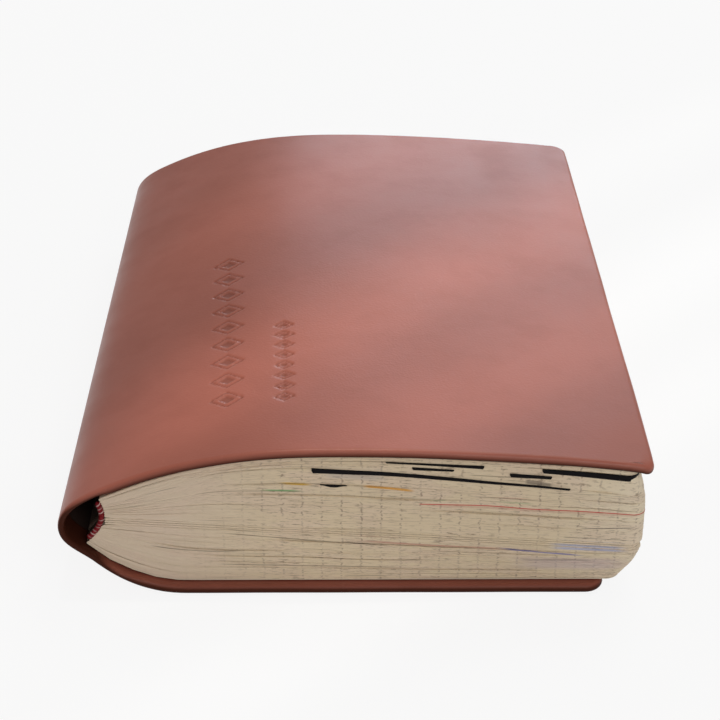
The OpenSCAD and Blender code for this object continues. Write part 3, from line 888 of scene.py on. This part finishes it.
def perforated(width, height, pitch=1.6, bite=0.42):
    """Outline of a stamp: half-round bites along each straight edge, of TOOTH_STEPS points
    for each tooth."""
    outline = []
    for x0, y0, dx, dy, length in (
        (-width / 2, -height / 2, 1, 0, width), (width / 2, -height / 2, 0, 1, height),
        (width / 2, height / 2, -1, 0, width), (-width / 2, height / 2, 0, -1, height),
    ):
        count = int(round(length / pitch))
        step = np.arange(count * TOOTH_STEPS)
        s = (step + 0.5) / TOOTH_STEPS * (length / count)
        phase = (step % TOOTH_STEPS + 0.5) / TOOTH_STEPS
        dip = bite * np.clip(np.sin(np.pi * phase) * 1.5 - 0.45, 0, 1)
        outline.append(np.stack([x0 + dx * s - dy * dip, y0 + dy * s + dx * dip], 1))
    return np.concatenate(outline)


def stamps(node, name, body, up):
    """Six perforated stamps, each on the place of its solid, numbered in their UV map."""
    low, high = (np.array(v) / MM + FRAME_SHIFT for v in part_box(node))
    outline = perforated(STAMP_W, STAMP_H)
    count, side = len(outline), 1 if up else -1
    raised = side * (STAMP_SUNK - OPENING_H / 2) * math.sqrt(1 + OPENING_SLOPE**2)
    columns = (low[0] + STAMP_W / 2, high[0] - STAMP_W / 2)
    rows = (low[1] + STAMP_H / 2, (low[1] + high[1]) / 2, high[1] - STAMP_H / 2)
    ring, points, faces, uvs = np.arange(count), [], [], []
    after = (ring + 1) % count
    for number, (cx, cy) in enumerate((a, b) for a in columns for b in rows):
        x, y = outline[:, 0] + cx, outline[:, 1] + cy
        base = FOLD_Z - (x - FOLD_X) * OPENING_SLOPE + raised
        points += [np.stack([x, y, z], 1) for z in (base, base + side * STAMP_T)]
        uvs += 2 * [outline / [STAMP_W, STAMP_H] + 0.5 + [number, 0]]
        start = 2 * count * number
        face, far = start + ring, start + count + ring
        faces += [face[::-1].tolist(), far.tolist()]
        faces += np.stack([face, start + after, start + count + after, far], 1).tolist()
    piece = new_piece(name, np.concatenate(points), faces, uv=np.concatenate(uvs), weld=0.0005)
    piece.data.polygons.foreach_set("use_smooth", np.zeros(len(piece.data.polygons), bool))
    dress(piece, MATERIALS["stamp_paper"])
    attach(piece, body)
    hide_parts(node)


# ---- shader nodes ----

MATERIALS = {}
VECTOR, FLOAT = "NodeSocketVector", "NodeSocketFloat"


def material(name):
    """A node material; returns its node tree and its Principled shader."""
    made = bpy.data.materials.new(name)
    made.use_nodes = True
    MATERIALS[name] = made
    return made.node_tree, made.node_tree.nodes["Principled BSDF"]


def add(tree, kind, inputs=None, **values):
    """A node with its properties and, by index or name, its inputs set."""
    node = tree.nodes.new(kind)
    for key, value in values.items():
        setattr(node, key, value)
    for socket, value in (inputs or {}).items():
        feed(tree, node.inputs[socket], value)
    return node


def feed(tree, socket, value):
    """Sets an input: links it to a socket, or gives it a number, a vector or a colour."""
    if isinstance(value, bpy.types.NodeSocket):
        tree.links.new(value, socket)
    elif socket.type == "RGBA" and len(value) == 3:
        socket.default_value = (*value, 1.0)
    else:
        socket.default_value = value


def maths(tree, operation, *values):
    """A Math node; each value is a number or a socket."""
    return add(tree, "ShaderNodeMath", dict(enumerate(values)), operation=operation).outputs[0]


def times(tree, *values):
    """The product of two or more values."""
    product = values[0]
    for value in values[1:]:
        product = maths(tree, "MULTIPLY", product, value)
    return product


def ramp(tree, value, low, high, from_low=0.0, from_high=1.0):
    """A smooth step of a value between two ends, put out between two others."""
    inputs = {"Value": value, "From Min": from_low, "From Max": from_high, "To Min": low, "To Max": high}
    node = add(tree, "ShaderNodeMapRange", inputs, interpolation_type="SMOOTHSTEP", clamp=True)
    return node.outputs["Result"]


def mixed(tree, factor, a, b):
    """A colour mix; the factor and each colour are a value or a socket."""
    return add(tree, "ShaderNodeMix", {0: factor, 6: a, 7: b}, data_type="RGBA").outputs[2]


def noise(tree, vector, scale, detail=2.0, rough=0.5):
    """Noise of a vector; a scale for each axis stretches it along them."""
    if isinstance(scale, tuple):
        vector = add(tree, "ShaderNodeMapping", {"Vector": vector, "Scale": scale}).outputs["Vector"]
        scale = 1.0
    inputs = {"Vector": vector, "Scale": scale, "Detail": detail, "Roughness": rough}
    return add(tree, "ShaderNodeTexNoise", inputs).outputs["Fac"]


def parts_of(tree, vector):
    """The X, Y and Z of a vector."""
    return add(tree, "ShaderNodeSeparateXYZ", {0: vector}).outputs[:]


def object_place(tree):
    """Object coordinates, in metres in the frame of the solids."""
    return add(tree, "ShaderNodeTexCoord").outputs["Object"]


def uv_place(tree):
    """The piece's own UV map, and its U and V."""
    uv = add(tree, "ShaderNodeUVMap", uv_map="UVMap").outputs["UV"]
    return uv, *parts_of(tree, uv)[:2]


def coat(tree, shader, base, rough, specular=None):
    """Feeds a shader its colour, its roughness and, where it has one, its specular level."""
    feed(tree, shader.inputs["Base Color"], base)
    feed(tree, shader.inputs["Roughness"], rough)
    if specular is not None:
        feed(tree, shader.inputs["Specular IOR Level"], specular)


def bump(tree, shader, height, strength, distance):
    """Feeds a shader its normal from a height."""
    node = add(tree, "ShaderNodeBump", {"Strength": strength, "Distance": distance, "Height": height})
    feed(tree, shader.inputs["Normal"], node.outputs["Normal"])


def group(name, inputs, outputs):
    """A shader node group with named sockets; returns it, its inlet and its outlet."""
    made = bpy.data.node_groups.new(name, "ShaderNodeTree")
    for key, kind in inputs:
        made.interface.new_socket(name=key, in_out="INPUT", socket_type=kind)
    for key, kind in outputs:
        made.interface.new_socket(name=key, in_out="OUTPUT", socket_type=kind)
    return made, made.nodes.new("NodeGroupInput").outputs, made.nodes.new("NodeGroupOutput").inputs


def use(tree, made, inputs):
    """Places a group with its inputs set, and returns its outputs."""
    return add(tree, "ShaderNodeGroup", inputs, node_tree=made).outputs


def fibre_group():
    """Paper fibre: a fine height and a slow tone, both from noise at a position."""
    sockets = [("Position", VECTOR), ("Fibre per metre", FLOAT)]
    made, inlet, outlet = group("paper_fibre", sockets, [("Height", FLOAT), ("Tone", FLOAT)])
    feed(made, outlet["Height"], noise(made, inlet["Position"], inlet["Fibre per metre"], 3.0))
    feed(made, outlet["Tone"], noise(made, inlet["Position"], 120.0, 3.0))
    return made


PRINT_INPUTS = ("From", "To", "Level", "Tilt", "Height", "Fade")


def print_group():
    """A printed mark on the leaves' edges: inside From..To along U, and within Height of
    Level + Tilt * t in V, where t is the share of the way along; its sides are soft."""
    sockets = [(name, FLOAT) for name in ("U", "V", *PRINT_INPUTS)]
    made, inlet, outlet = group("edge_print", sockets, [("Mask", FLOAT)])
    done = maths(made, "SUBTRACT", inlet["U"], inlet["From"])
    left = maths(made, "SUBTRACT", inlet["To"], inlet["U"])
    along = maths(made, "DIVIDE", done, maths(made, "SUBTRACT", inlet["To"], inlet["From"]))
    centre = maths(made, "MULTIPLY_ADD", along, inlet["Tilt"], inlet["Level"])
    off = maths(made, "ABSOLUTE", maths(made, "SUBTRACT", inlet["V"], centre))
    across = maths(made, "SUBTRACT", 1.0, maths(made, "DIVIDE", off, inlet["Height"]))
    ends = maths(made, "DIVIDE", maths(made, "MINIMUM", done, left), inlet["Fade"])
    feed(made, outlet["Mask"], times(made, ramp(made, across, 0, 1, 0, 0.6), ramp(made, ends, 0, 1)))
    return made


# ---- finishes of the leaves ----

GRID_PITCH = 5.0
LEAF_TONE, BACK_TONE, WARM_TONE = (0.735, 0.600, 0.418), (0.705, 0.572, 0.434), (0.720, 0.555, 0.440)
PALE_TONE, EDGE_LIGHT = (0.82, 0.71, 0.53), (0.86, 0.76, 0.61)
LINE_TONE, DASH_TONE, TICK_TONE = (0.400, 0.300, 0.205), (0.290, 0.215, 0.145), (0.300, 0.215, 0.160)
# NEAR_BLACK draws thin near-black lines along the leaves of the tail edge.
SHADE, NEAR_BLACK = (0.170, 0.120, 0.075), (0.06, 0.05, 0.045)
PARTING_SHADE, BROWN_INK = (0.15, 0.11, 0.07), (0.42, 0.36, 0.33)
# Stretches of U over which the specks gain their strength, and fade at the fore-edge.
SPECKS_GROW, NEAR_FORE_EDGE = (24, 60), (153, 160)

# Marks on the tail edge: colour, strength, and from x, to x, level, tilt, height, fade.
# Level 0 to 1 is the lower half of the leaves and 1 to 2 the upper half.
EDGE_MARKS = [
    ((0.62, 0.36, 0.03), 0.9, (55.5, 64.8, 1.643, -0.024, 0.021, 3.0)),
    ((0.70, 0.33, 0.05), 0.9, (76.5, 90.5, 1.634, -0.036, 0.021, 2.5)),
    ((0.10, 0.36, 0.12), 0.75, (50.5, 62.5, 1.540, -0.014, 0.020, 4.0)),
    ((0.16, 0.36, 0.14), 0.45, (91.0, 99.0, 1.472, 0.0, 0.012, 2.0)),
    ((0.22, 0.38, 0.18), 0.35, (110.0, 121.0, 1.492, 0.006, 0.012, 3.0)),
    ((0.55, 0.26, 0.20), 0.40, (109.0, 120.0, 1.563, 0.012, 0.008, 3.0)),
    ((0.50, 0.22, 0.16), 0.30, (90.0, 152.0, 1.398, 0.012, 0.034, 10.0)),
    ((0.55, 0.035, 0.03), 0.9, (91.0, 162.0, 1.414, 0.016, 0.008, 0.8)),
    ((0.46, 0.19, 0.15), 0.62, (74.0, 116.0, 0.932, -0.055, 0.030, 8.0)),
    ((0.14, 0.15, 0.42), 0.75, (111.0, 135.0, 0.900, -0.125, 0.030, 5.0)),
    ((0.35, 0.41, 0.66), 0.65, (124.0, 146.0, 0.975, 0.000, 0.034, 5.0)),
    (NEAR_BLACK, 0.8, (132.0, 147.0, 1.170, 0.048, 0.007, 2.0)),
    (NEAR_BLACK, 0.5, (128.0, 145.0, 1.030, 0.0, 0.006, 1.0)),
    ((0.54, 0.43, 0.46), 0.50, (112.0, 149.0, 0.500, 0.000, 0.250, 12.0)),
    (NEAR_BLACK, 0.55, (117.5, 124.8, 1.868, -0.010, 0.016, 1.0)),
    ((0.34, 0.34, 0.36), 0.30, (66.0, 84.0, 1.780, -0.012, 0.070, 4.0)),
    (PARTING_SHADE, 0.75, (22.0, 47.0, 0.552, 0.062, 0.012, 4.0)),
    (PARTING_SHADE, 0.65, (34.0, 64.0, 1.531, -0.010, 0.007, 4.0)),
    (PARTING_SHADE, 0.75, (40.0, 86.0, 0.962, -0.125, 0.012, 6.0)),
    (NEAR_BLACK, 0.65, (116.0, 137.0, 0.592, 0.026, 0.010, 3.0)),
    (PARTING_SHADE, 0.70, (21.0, 32.0, 1.852, -0.080, 0.008, 3.0)),
    (PARTING_SHADE, 0.65, (38.0, 90.0, 0.322, -0.020, 0.012, 8.0)),
    (PARTING_SHADE, 0.55, (122.0, 149.0, 1.705, 0.140, 0.006, 3.0)),
    (PARTING_SHADE, 0.55, (103.0, 120.0, 1.882, 0.008, 0.004, 2.0)),
]


def edge_tones(tree, u, blotch):
    """Slow tones along the leaves' edges: paler at the fore-edge, warmer in blotches."""
    base = mixed(tree, ramp(tree, u, 0, 1, *SPECKS_GROW), BACK_TONE, LEAF_TONE)
    base = mixed(tree, ramp(tree, u, 0, 1, 120, 152), base, PALE_TONE)
    return mixed(tree, ramp(tree, blotch, 0, 0.4, 0.42, 0.62), base, WARM_TONE)


def edge_specks(tree, uv, u, base, lines, area, blotch):
    """Fine lines of leaf upon leaf, short dashes, a few dark partings and pale edges."""
    grow, fade = ramp(tree, u, 0.45, 1, *SPECKS_GROW), ramp(tree, u, 1, 0.4, *NEAR_FORE_EDGE)
    fine = times(tree, ramp(tree, lines, 0.52, 0, 0.30, 0.50), ramp(tree, area, 0.35, 1, 0.40, 0.60), grow)
    base = mixed(tree, fine, base, LINE_TONE)
    dashes = ramp(tree, noise(tree, uv, (0.36, 54.0, 1.0), 3.0, 0.65), 0.80, 0, 0.34, 0.48)
    short = times(tree, dashes, ramp(tree, u, 0.15, 1, 22, 60), ramp(tree, blotch, 0.45, 1, 0.40, 0.58), fade)
    base = mixed(tree, short, base, DASH_TONE)
    sparse = ramp(tree, noise(tree, uv, (0.030, 44.0, 1.0), 1.0), 0.75, 0, 0.27, 0.33)
    base = mixed(tree, times(tree, sparse, ramp(tree, area, 0, 1, 0.45, 0.55)), base, SHADE)
    return mixed(tree, ramp(tree, lines, 0, 0.35, 0.56, 0.74), base, EDGE_LIGHT)


def grid_ticks(tree, uv, u, base, area):
    """The ends of the printed grid: a tick every 5 mm, shifted a little from leaf to leaf."""
    shifted = noise(tree, uv, (0.05, 16.0, 1.0), 1.0)
    cell = maths(tree, "DIVIDE", maths(tree, "MULTIPLY_ADD", shifted, 1.5, u), GRID_PITCH)
    off = maths(tree, "ABSOLUTE", maths(tree, "SUBTRACT", maths(tree, "FRACT", cell), 0.5))
    patch = noise(tree, uv, (0.45, 24.0, 1.0), 2.0, 0.7)
    tick = times(
        tree, ramp(tree, off, 1, 0, 0.02, 0.075), ramp(tree, patch, 0, 1, 0.47, 0.58),
        ramp(tree, area, 0.45, 1, 0.35, 0.60), ramp(tree, u, 0, 0.72, 24, 66),
        ramp(tree, u, 1, 0.5, *NEAR_FORE_EDGE),
    )
    return mixed(tree, tick, base, TICK_TONE)


def leaf_edges(printing):
    """Edges of many leaves. U is millimetres along the edge, V is 0 to 1 through the lower
    half of the leaves and 1 to 2 through the upper half."""
    tree, shader = material("leaf_edges")
    uv, u, v = uv_place(tree)
    lines = noise(tree, uv, (0.055, 62.0, 1.0), 4.0, 0.62)
    area = noise(tree, uv, (0.045, 3.6, 1.0))
    blotch = noise(tree, uv, (0.06, 3.2, 1.0), 3.0, 0.55)
    base = edge_tones(tree, u, blotch)
    base = edge_specks(tree, uv, u, base, lines, area, blotch)
    base = grid_ticks(tree, uv, u, base, area)
    for colour, strength, place in EDGE_MARKS:
        mask = use(tree, printing, {"U": u, "V": v, **dict(zip(PRINT_INPUTS, place))})["Mask"]
        base = mixed(tree, times(tree, mask, strength), base, colour)
    coat(tree, shader, base, 0.82)
    bump(tree, shader, lines, 0.4, 0.00022)


def paper(name, colour, ink, fibre):
    """Uncoated paper with fibre and, where ink is above 0, a fine square grid."""
    tree, shader = material(name)
    place = object_place(tree)
    fibres = use(tree, fibre, {"Position": place, "Fibre per metre": 900.0})
    darker = tuple(c * 0.965 for c in colour)
    base = mixed(tree, ramp(tree, fibres["Tone"], 0, 1, 0.35, 0.65), colour, darker)
    for along in parts_of(tree, place)[:2] if ink else []:
        cell = maths(tree, "FRACT", maths(tree, "DIVIDE", along, GRID_PITCH * MM))
        off = maths(tree, "ABSOLUTE", maths(tree, "SUBTRACT", cell, 0.5))
        base = mixed(tree, times(tree, ramp(tree, off, 0, 1, 0.475, 0.490), ink), base, BROWN_INK)
    coat(tree, shader, base, 0.78)
    bump(tree, shader, fibres["Height"], 0.25, 0.00008)


# ---- other finishes ----

LEATHER, LEATHER_LIGHT, LEATHER_DARK = (0.385, 0.110, 0.070), (0.435, 0.130, 0.088), (0.340, 0.094, 0.060)
# LEATHER_RIM_SHADE is painted shade for the edges, the tooling and the covers' insides.
LEATHER_RUBBED, LEATHER_RIM_SHADE = (0.46, 0.165, 0.120), (0.056, 0.015, 0.008)
RED_DEEP, RED_LIGHT, PALE_SILK = (0.13, 0.002, 0.005), (0.27, 0.004, 0.012), (0.62, 0.42, 0.39)
STRANDS = 9                     # fine strands in one turn of the headband
WEAVE_PITCH = 0.9 * MM
STAMP_PAPER, STAMP_GREY, STAMP_INK = (0.80, 0.75, 0.64), (0.45, 0.38, 0.30), (0.10, 0.09, 0.09)


def leatherette():
    """Smooth coated leatherette: a pebbled grain, slow tones, and painted shade on its rims and in its
    tooling.
    """
    tree, shader = material("leatherette")
    place = object_place(tree)
    rim = add(tree, "ShaderNodeAttribute", attribute_name="rim").outputs["Fac"]
    tone, cloud = noise(tree, place, 16.0, 4.0, 0.55), noise(tree, place, 70.0, 5.0, 0.6)
    scuff = noise(tree, place, (900.0, 240.0, 600.0))
    base = mixed(tree, ramp(tree, tone, 0, 1, 0.36, 0.64), LEATHER, LEATHER_LIGHT)
    base = mixed(tree, ramp(tree, cloud, 0, 0.35, 0.45, 0.75), base, LEATHER_DARK)
    base = mixed(tree, ramp(tree, scuff, 0, 0.22, 0.62, 0.78), base, LEATHER_RUBBED)
    # Painted shade from the mesh attribute, darkest on the edges.
    base = mixed(tree, rim, base, LEATHER_RIM_SHADE)
    coat(tree, shader, base, ramp(tree, cloud, 0.36, 0.43, 0.3, 0.7), ramp(tree, rim, 0.38, 0.05))
    inputs = {"Vector": place, "Scale": 1500.0, "Smoothness": 0.6}
    grain = add(tree, "ShaderNodeTexVoronoi", inputs, feature="SMOOTH_F1")
    wrinkle = noise(tree, place, (120.0, 60.0, 120.0), 3.0)
    height = times(tree, grain.outputs["Distance"], 0.9)
    height = maths(tree, "MULTIPLY_ADD", noise(tree, place, 2600.0), 0.35, height)
    height = maths(tree, "MULTIPLY_ADD", wrinkle, 0.25, height)
    bump(tree, shader, height, 0.14, 0.0002)


def plain_stuff(name, colour, rough, scale, depth, specular=None):
    """A simple stuff whose tone and height are the same noise."""
    tree, shader = material(name)
    tone = noise(tree, object_place(tree), scale, 4.0)
    base = mixed(tree, ramp(tree, tone, 0, 1, 0.3, 0.7), colour, tuple(c * 0.88 for c in colour))
    coat(tree, shader, base, rough, specular)
    bump(tree, shader, tone, 0.4, depth)


def gauze_cloth(colour, gap_colour):
    """Open plain weave: the higher of two sines, one along Y and one across it."""
    tree, shader = material("gauze")
    x, y, z = parts_of(tree, object_place(tree))
    turns = [times(tree, along, 2 * math.pi / WEAVE_PITCH) for along in (y, maths(tree, "ADD", x, z))]
    height = maths(tree, "MAXIMUM", *[maths(tree, "SINE", turn) for turn in turns])
    gaps = ramp(tree, ramp(tree, height, 1, 0, -0.4, 0.7), 0, 1, 0.3, 0.7)
    coat(tree, shader, mixed(tree, gaps, colour, gap_colour), 0.85)
    bump(tree, shader, height, 0.4, 0.00015)


def headband_silk():
    """Red silk with a pale patchy strand in each turn, and the strands' own fine lines."""
    tree, shader = material("headband_silk")
    uv, _, v = uv_place(tree)
    turn = maths(tree, "FRACT", v)
    patchy = ramp(tree, noise(tree, uv, (0.55, 0.9, 1.0)), 0.0, 0.9, 0.41, 0.56)
    pale = times(tree, ramp(tree, turn, 0, 1, 0.56, 0.62), ramp(tree, turn, 1, 0, 0.82, 0.90), patchy)
    strand = maths(tree, "SINE", times(tree, v, 2 * math.pi * STRANDS))
    red = mixed(tree, ramp(tree, strand, 0, 1, -1, 1), RED_DEEP, RED_LIGHT)
    coat(tree, shader, mixed(tree, pale, red, PALE_SILK), 0.5, 0.2)
    bump(tree, shader, strand, 0.5, 0.00006)


def stamp_paper():
    """Generic stamps: a pale margin, a tinted field with a disc over a low hill line. The
    whole part of U is the stamp's number, which sets its tint."""
    tree, shader = material("stamp_paper")
    _, u, v = uv_place(tree)
    number = maths(tree, "FLOOR", u)
    x = maths(tree, "SUBTRACT", maths(tree, "FRACT", u), 0.5)
    y = maths(tree, "SUBTRACT", v, 0.5)
    field = times(
        tree, ramp(tree, maths(tree, "ABSOLUTE", x), 1, 0, 0.395, 0.405),
        ramp(tree, maths(tree, "ABSOLUTE", y), 1, 0, 0.42, 0.428),
    )
    hue = maths(tree, "FRACT", maths(tree, "MULTIPLY_ADD", number, 0.37, 0.03))
    tint = add(tree, "ShaderNodeCombineColor", {0: hue, 1: 0.55, 2: 0.42}, mode="HSV")
    rise = maths(tree, "POWER", maths(tree, "SUBTRACT", y, 0.12), 2.0)
    radius = maths(tree, "SQRT", maths(tree, "MULTIPLY_ADD", rise, 1.9, maths(tree, "POWER", x, 2.0)))
    hill_line = maths(tree, "MULTIPLY_ADD", maths(tree, "SINE", times(tree, x, 7.0)), 0.05, -0.16)
    disc = ramp(tree, radius, 1, 0, 0.16, 0.17)
    hill = ramp(tree, maths(tree, "SUBTRACT", hill_line, y), 0, 1, -0.005, 0.005)
    picture = mixed(tree, 0.25, tint.outputs[0], STAMP_GREY)
    picture = mixed(tree, times(tree, disc, 0.75), picture, STAMP_PAPER)
    picture = mixed(tree, times(tree, hill, 0.6), picture, STAMP_INK)
    coat(tree, shader, mixed(tree, field, STAMP_PAPER, picture), 0.6)


def make_materials():
    """Every finish, by the name that MATERIALS keeps it under."""
    fibre = fibre_group()
    leaf_edges(print_group())
    paper("leaf_page", (0.76, 0.665, 0.510), 0.55, fibre)
    paper("leaf_backs", (0.120, 0.075, 0.048), 0.0, fibre)
    paper("endpaper", (0.77, 0.680, 0.530), 0.0, fibre)
    leatherette()
    # The lining's near-black colour is painted shade inside the hollow spine.
    plain_stuff("lining", (0.036, 0.018, 0.013), 0.7, 400.0, 0.00010)
    plain_stuff("thread", (0.80, 0.76, 0.68), 0.7, 3000.0, 0.00005)
    plain_stuff("foam", (0.78, 0.74, 0.66), 0.9, 1800.0, 0.00015)
    plain_stuff("board", (0.36, 0.29, 0.20), 0.85, 1200.0, 0.00010)
    plain_stuff("mount_film", (0.007, 0.006, 0.007), 0.5, 300.0, 0.00002, 0.06)
    gauze_cloth((0.16, 0.11, 0.08), (0.096, 0.066, 0.048))
    headband_silk()
    stamp_paper()


NODE_FINISH = {
    "endpaper": ["front_pastedown", "back_pastedown", "front_flyleaf", "back_flyleaf"],
    "thread": ["sewing_thread_lower", "sewing_thread_upper"],
    "foam": ["front_cover_foam", "back_cover_foam"],
    "board": ["front_cover_board", "back_cover_board"],
    "mount_film": ["stamp_mounts_lower", "stamp_mounts_upper"],
}

# ---- floor, lamps and camera ----

BACKDROP, BACKDROP_SHARE = 0.98, 0.9
FLOOR_SIZE, FLOOR_Z = 6.0, -0.0002
WORLD_LIGHT = 0.35
# Lamps: name, place, target, power, width, height, colour.
LAMPS = (
    ("key", (0.35, 0.60, 1.15), (0, 0, 0.02), 3.9, 0.6, 0.6, (1.0, 0.96, 0.91)),
    ("front", (0.45, -1.25, 0.80), (0.02, 0, 0.02), 5.0, 0.8, 0.5, (1.0, 0.97, 0.93)),
    ("far_window", (0.26, 1.7, 0.40), (0.02, 0.06, 0.04), 4.6, 0.75, 0.22, (0.80, 0.88, 1.0)),
)
# Bands of window light on the cover: from, to and share of the light. They are measured as
# y - BAND_SLANT * x in metres on the plane at COVER_LEVEL, under a lamp straight above.
BANDS = ((-0.120, -0.093, 1.1), (-0.063, -0.007, 0.95), (0.052, 0.098, 0.45))
BAND_SLANT, BAND_BLUR, BAND_LAMP_HEIGHT, COVER_LEVEL = 1.04, 0.008, 1.4, 0.042
BAND_FADE = (-0.095, -0.015)    # the bands gain their full light between these two x
BAND_POWER, BAND_CONE, BAND_CONE_BLEND, BAND_LAMP_SIZE = 32.0, 34.0, 0.6, 0.02
BAND_COLOUR = (1.0, 0.95, 0.88)
LENS, SENSOR = 91.65, 36.0
CAMERA_PLACE = (-0.0042, -0.4924, 0.2785)
CAMERA_PITCH, CAMERA_YAW, CAMERA_ROLL = 28.49, -0.79, 0.29


def floor():
    """A pale floor: white to the camera and in gloss, and darkened a little by shadow."""
    tree, shader = material("pale_floor")
    coat(tree, shader, (0.92, 0.92, 0.92), 0.9)
    glow = add(tree, "ShaderNodeEmission", {"Color": (1, 1, 1), "Strength": BACKDROP})
    path = add(tree, "ShaderNodeLightPath").outputs
    seen = maths(tree, "MAXIMUM", path["Is Glossy Ray"], path["Is Transmission Ray"])
    seen = times(tree, maths(tree, "MAXIMUM", path["Is Camera Ray"], seen), BACKDROP_SHARE)
    both = add(tree, "ShaderNodeMixShader", {0: seen, 1: shader.outputs[0], 2: glow.outputs[0]})
    feed(tree, tree.nodes["Material Output"].inputs["Surface"], both.outputs[0])
    mesh = bpy.data.meshes.new("pale_floor")
    corners = [(x * FLOOR_SIZE, y * FLOOR_SIZE, FLOOR_Z) for x, y in ((-1, -1), (1, -1), (1, 1), (-1, 1))]
    mesh.from_pydata(corners, [], [(0, 1, 2, 3)])
    mesh.materials.append(MATERIALS["pale_floor"])
    add_object("pale_floor", mesh)


def lamp(name, place, target, power, width, height, colour):
    """An area lamp at a place in metres, turned to its target."""
    data = bpy.data.lights.new(name, "AREA")
    data.shape, data.size, data.size_y, data.energy = "RECTANGLE", width, height, power
    data.color = colour
    made = add_object(name, data)
    made.location = place
    ray = Vector(target) - Vector(place)
    made.rotation_euler = ray.to_track_quat("-Z", "Y").to_euler()


def window_bands():
    """A spot lamp straight above, whose light passes only in slanted soft bands.

    A ray's x or y on the plane is its x or y over its depth, times the lamp's height over it.
    """
    data = bpy.data.lights.new("window_bands", "SPOT")
    data.energy, data.color, data.shadow_soft_size = BAND_POWER, BAND_COLOUR, BAND_LAMP_SIZE
    data.spot_size, data.spot_blend = math.radians(BAND_CONE), BAND_CONE_BLEND
    data.use_nodes = True
    tree = data.node_tree
    ray = parts_of(tree, add(tree, "ShaderNodeTexCoord").outputs["Normal"])
    scale = maths(tree, "DIVIDE", BAND_LAMP_HEIGHT - COVER_LEVEL, maths(tree, "ABSOLUTE", ray[2]))
    x, y = [times(tree, part, scale) for part in ray[:2]]
    across = maths(tree, "SUBTRACT", y, times(tree, x, BAND_SLANT))
    light = 0.0
    for start, end, share in BANDS:
        rising = ramp(tree, across, 0, share, start - BAND_BLUR / 2, start + BAND_BLUR / 2)
        falling = ramp(tree, across, 1, 0, end - BAND_BLUR / 2, end + BAND_BLUR / 2)
        light = maths(tree, "MULTIPLY_ADD", rising, falling, light)
    faded = times(tree, light, ramp(tree, x, 0.12, 1, *BAND_FADE))
    feed(tree, tree.nodes["Emission"].inputs["Strength"], faded)
    add_object("window_bands", data).location = (0, 0, BAND_LAMP_HEIGHT)


def surroundings():
    """A world that is white to the camera and through glass, and an even grey light on
    the album."""
    world = bpy.data.worlds.new("studio")
    world.use_nodes = True
    tree = world.node_tree
    path = add(tree, "ShaderNodeLightPath").outputs
    seen = maths(tree, "MAXIMUM", path["Is Camera Ray"], path["Is Transmission Ray"])
    back = tree.nodes["Background"].inputs
    feed(tree, back["Color"], (1, 1, 1))
    feed(tree, back["Strength"], ramp(tree, seen, WORLD_LIGHT, 1.0))
    bpy.context.scene.world = world


def camera():
    """The camera, in front of the tail edge and looking down on the front cover."""
    data = bpy.data.cameras.new("camera")
    data.lens, data.sensor_width = LENS, SENSOR
    data.clip_start, data.clip_end = 0.01, 50.0
    made = add_object("camera", data)
    made.location = CAMERA_PLACE
    pitch, yaw, roll = (math.radians(v) for v in (90 - CAMERA_PITCH, CAMERA_YAW, CAMERA_ROLL))
    turn = Matrix.Rotation(yaw, 3, "Z") @ Matrix.Rotation(pitch, 3, "X")
    made.rotation_euler = (turn @ Matrix.Rotation(roll, 3, "Z")).to_euler()
    bpy.context.scene.camera = made


def stage():
    """The camera, the world, the floor and the lamps."""
    camera()
    surroundings()
    floor()
    for values in LAMPS:
        lamp(*values)
    window_bands()


def build():
    """The album: finishes for the nodes that stay, and every piece that replaces one."""
    for finish, names in NODE_FINISH.items():
        for name in names:
            dress(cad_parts[name], MATERIALS[finish])
    for number in range(1, 2 * SECTIONS + 1):
        section_piece(number)
    for number, node in enumerate(("turning_leaf_low", "turning_leaf_mid", "turning_leaf_high")):
        turning_leaf(number, node)
    cover_panel(True)
    cover_panel(False)
    cover_bands()
    headband("headband_tail_silk", SQUARE, "headband_tail")
    headband("headband_head_silk", ALBUM_H - SQUARE, "headband_head")
    gauze()
    film_strips()
    stamps("stamps_lower", "stamps_lower_perforated", "lower_leaves", True)
    stamps("stamps_upper", "stamps_upper_perforated", "upper_leaves", False)


make_materials()
stage()
build()
bpy.context.scene.view_settings.view_transform = "Standard"
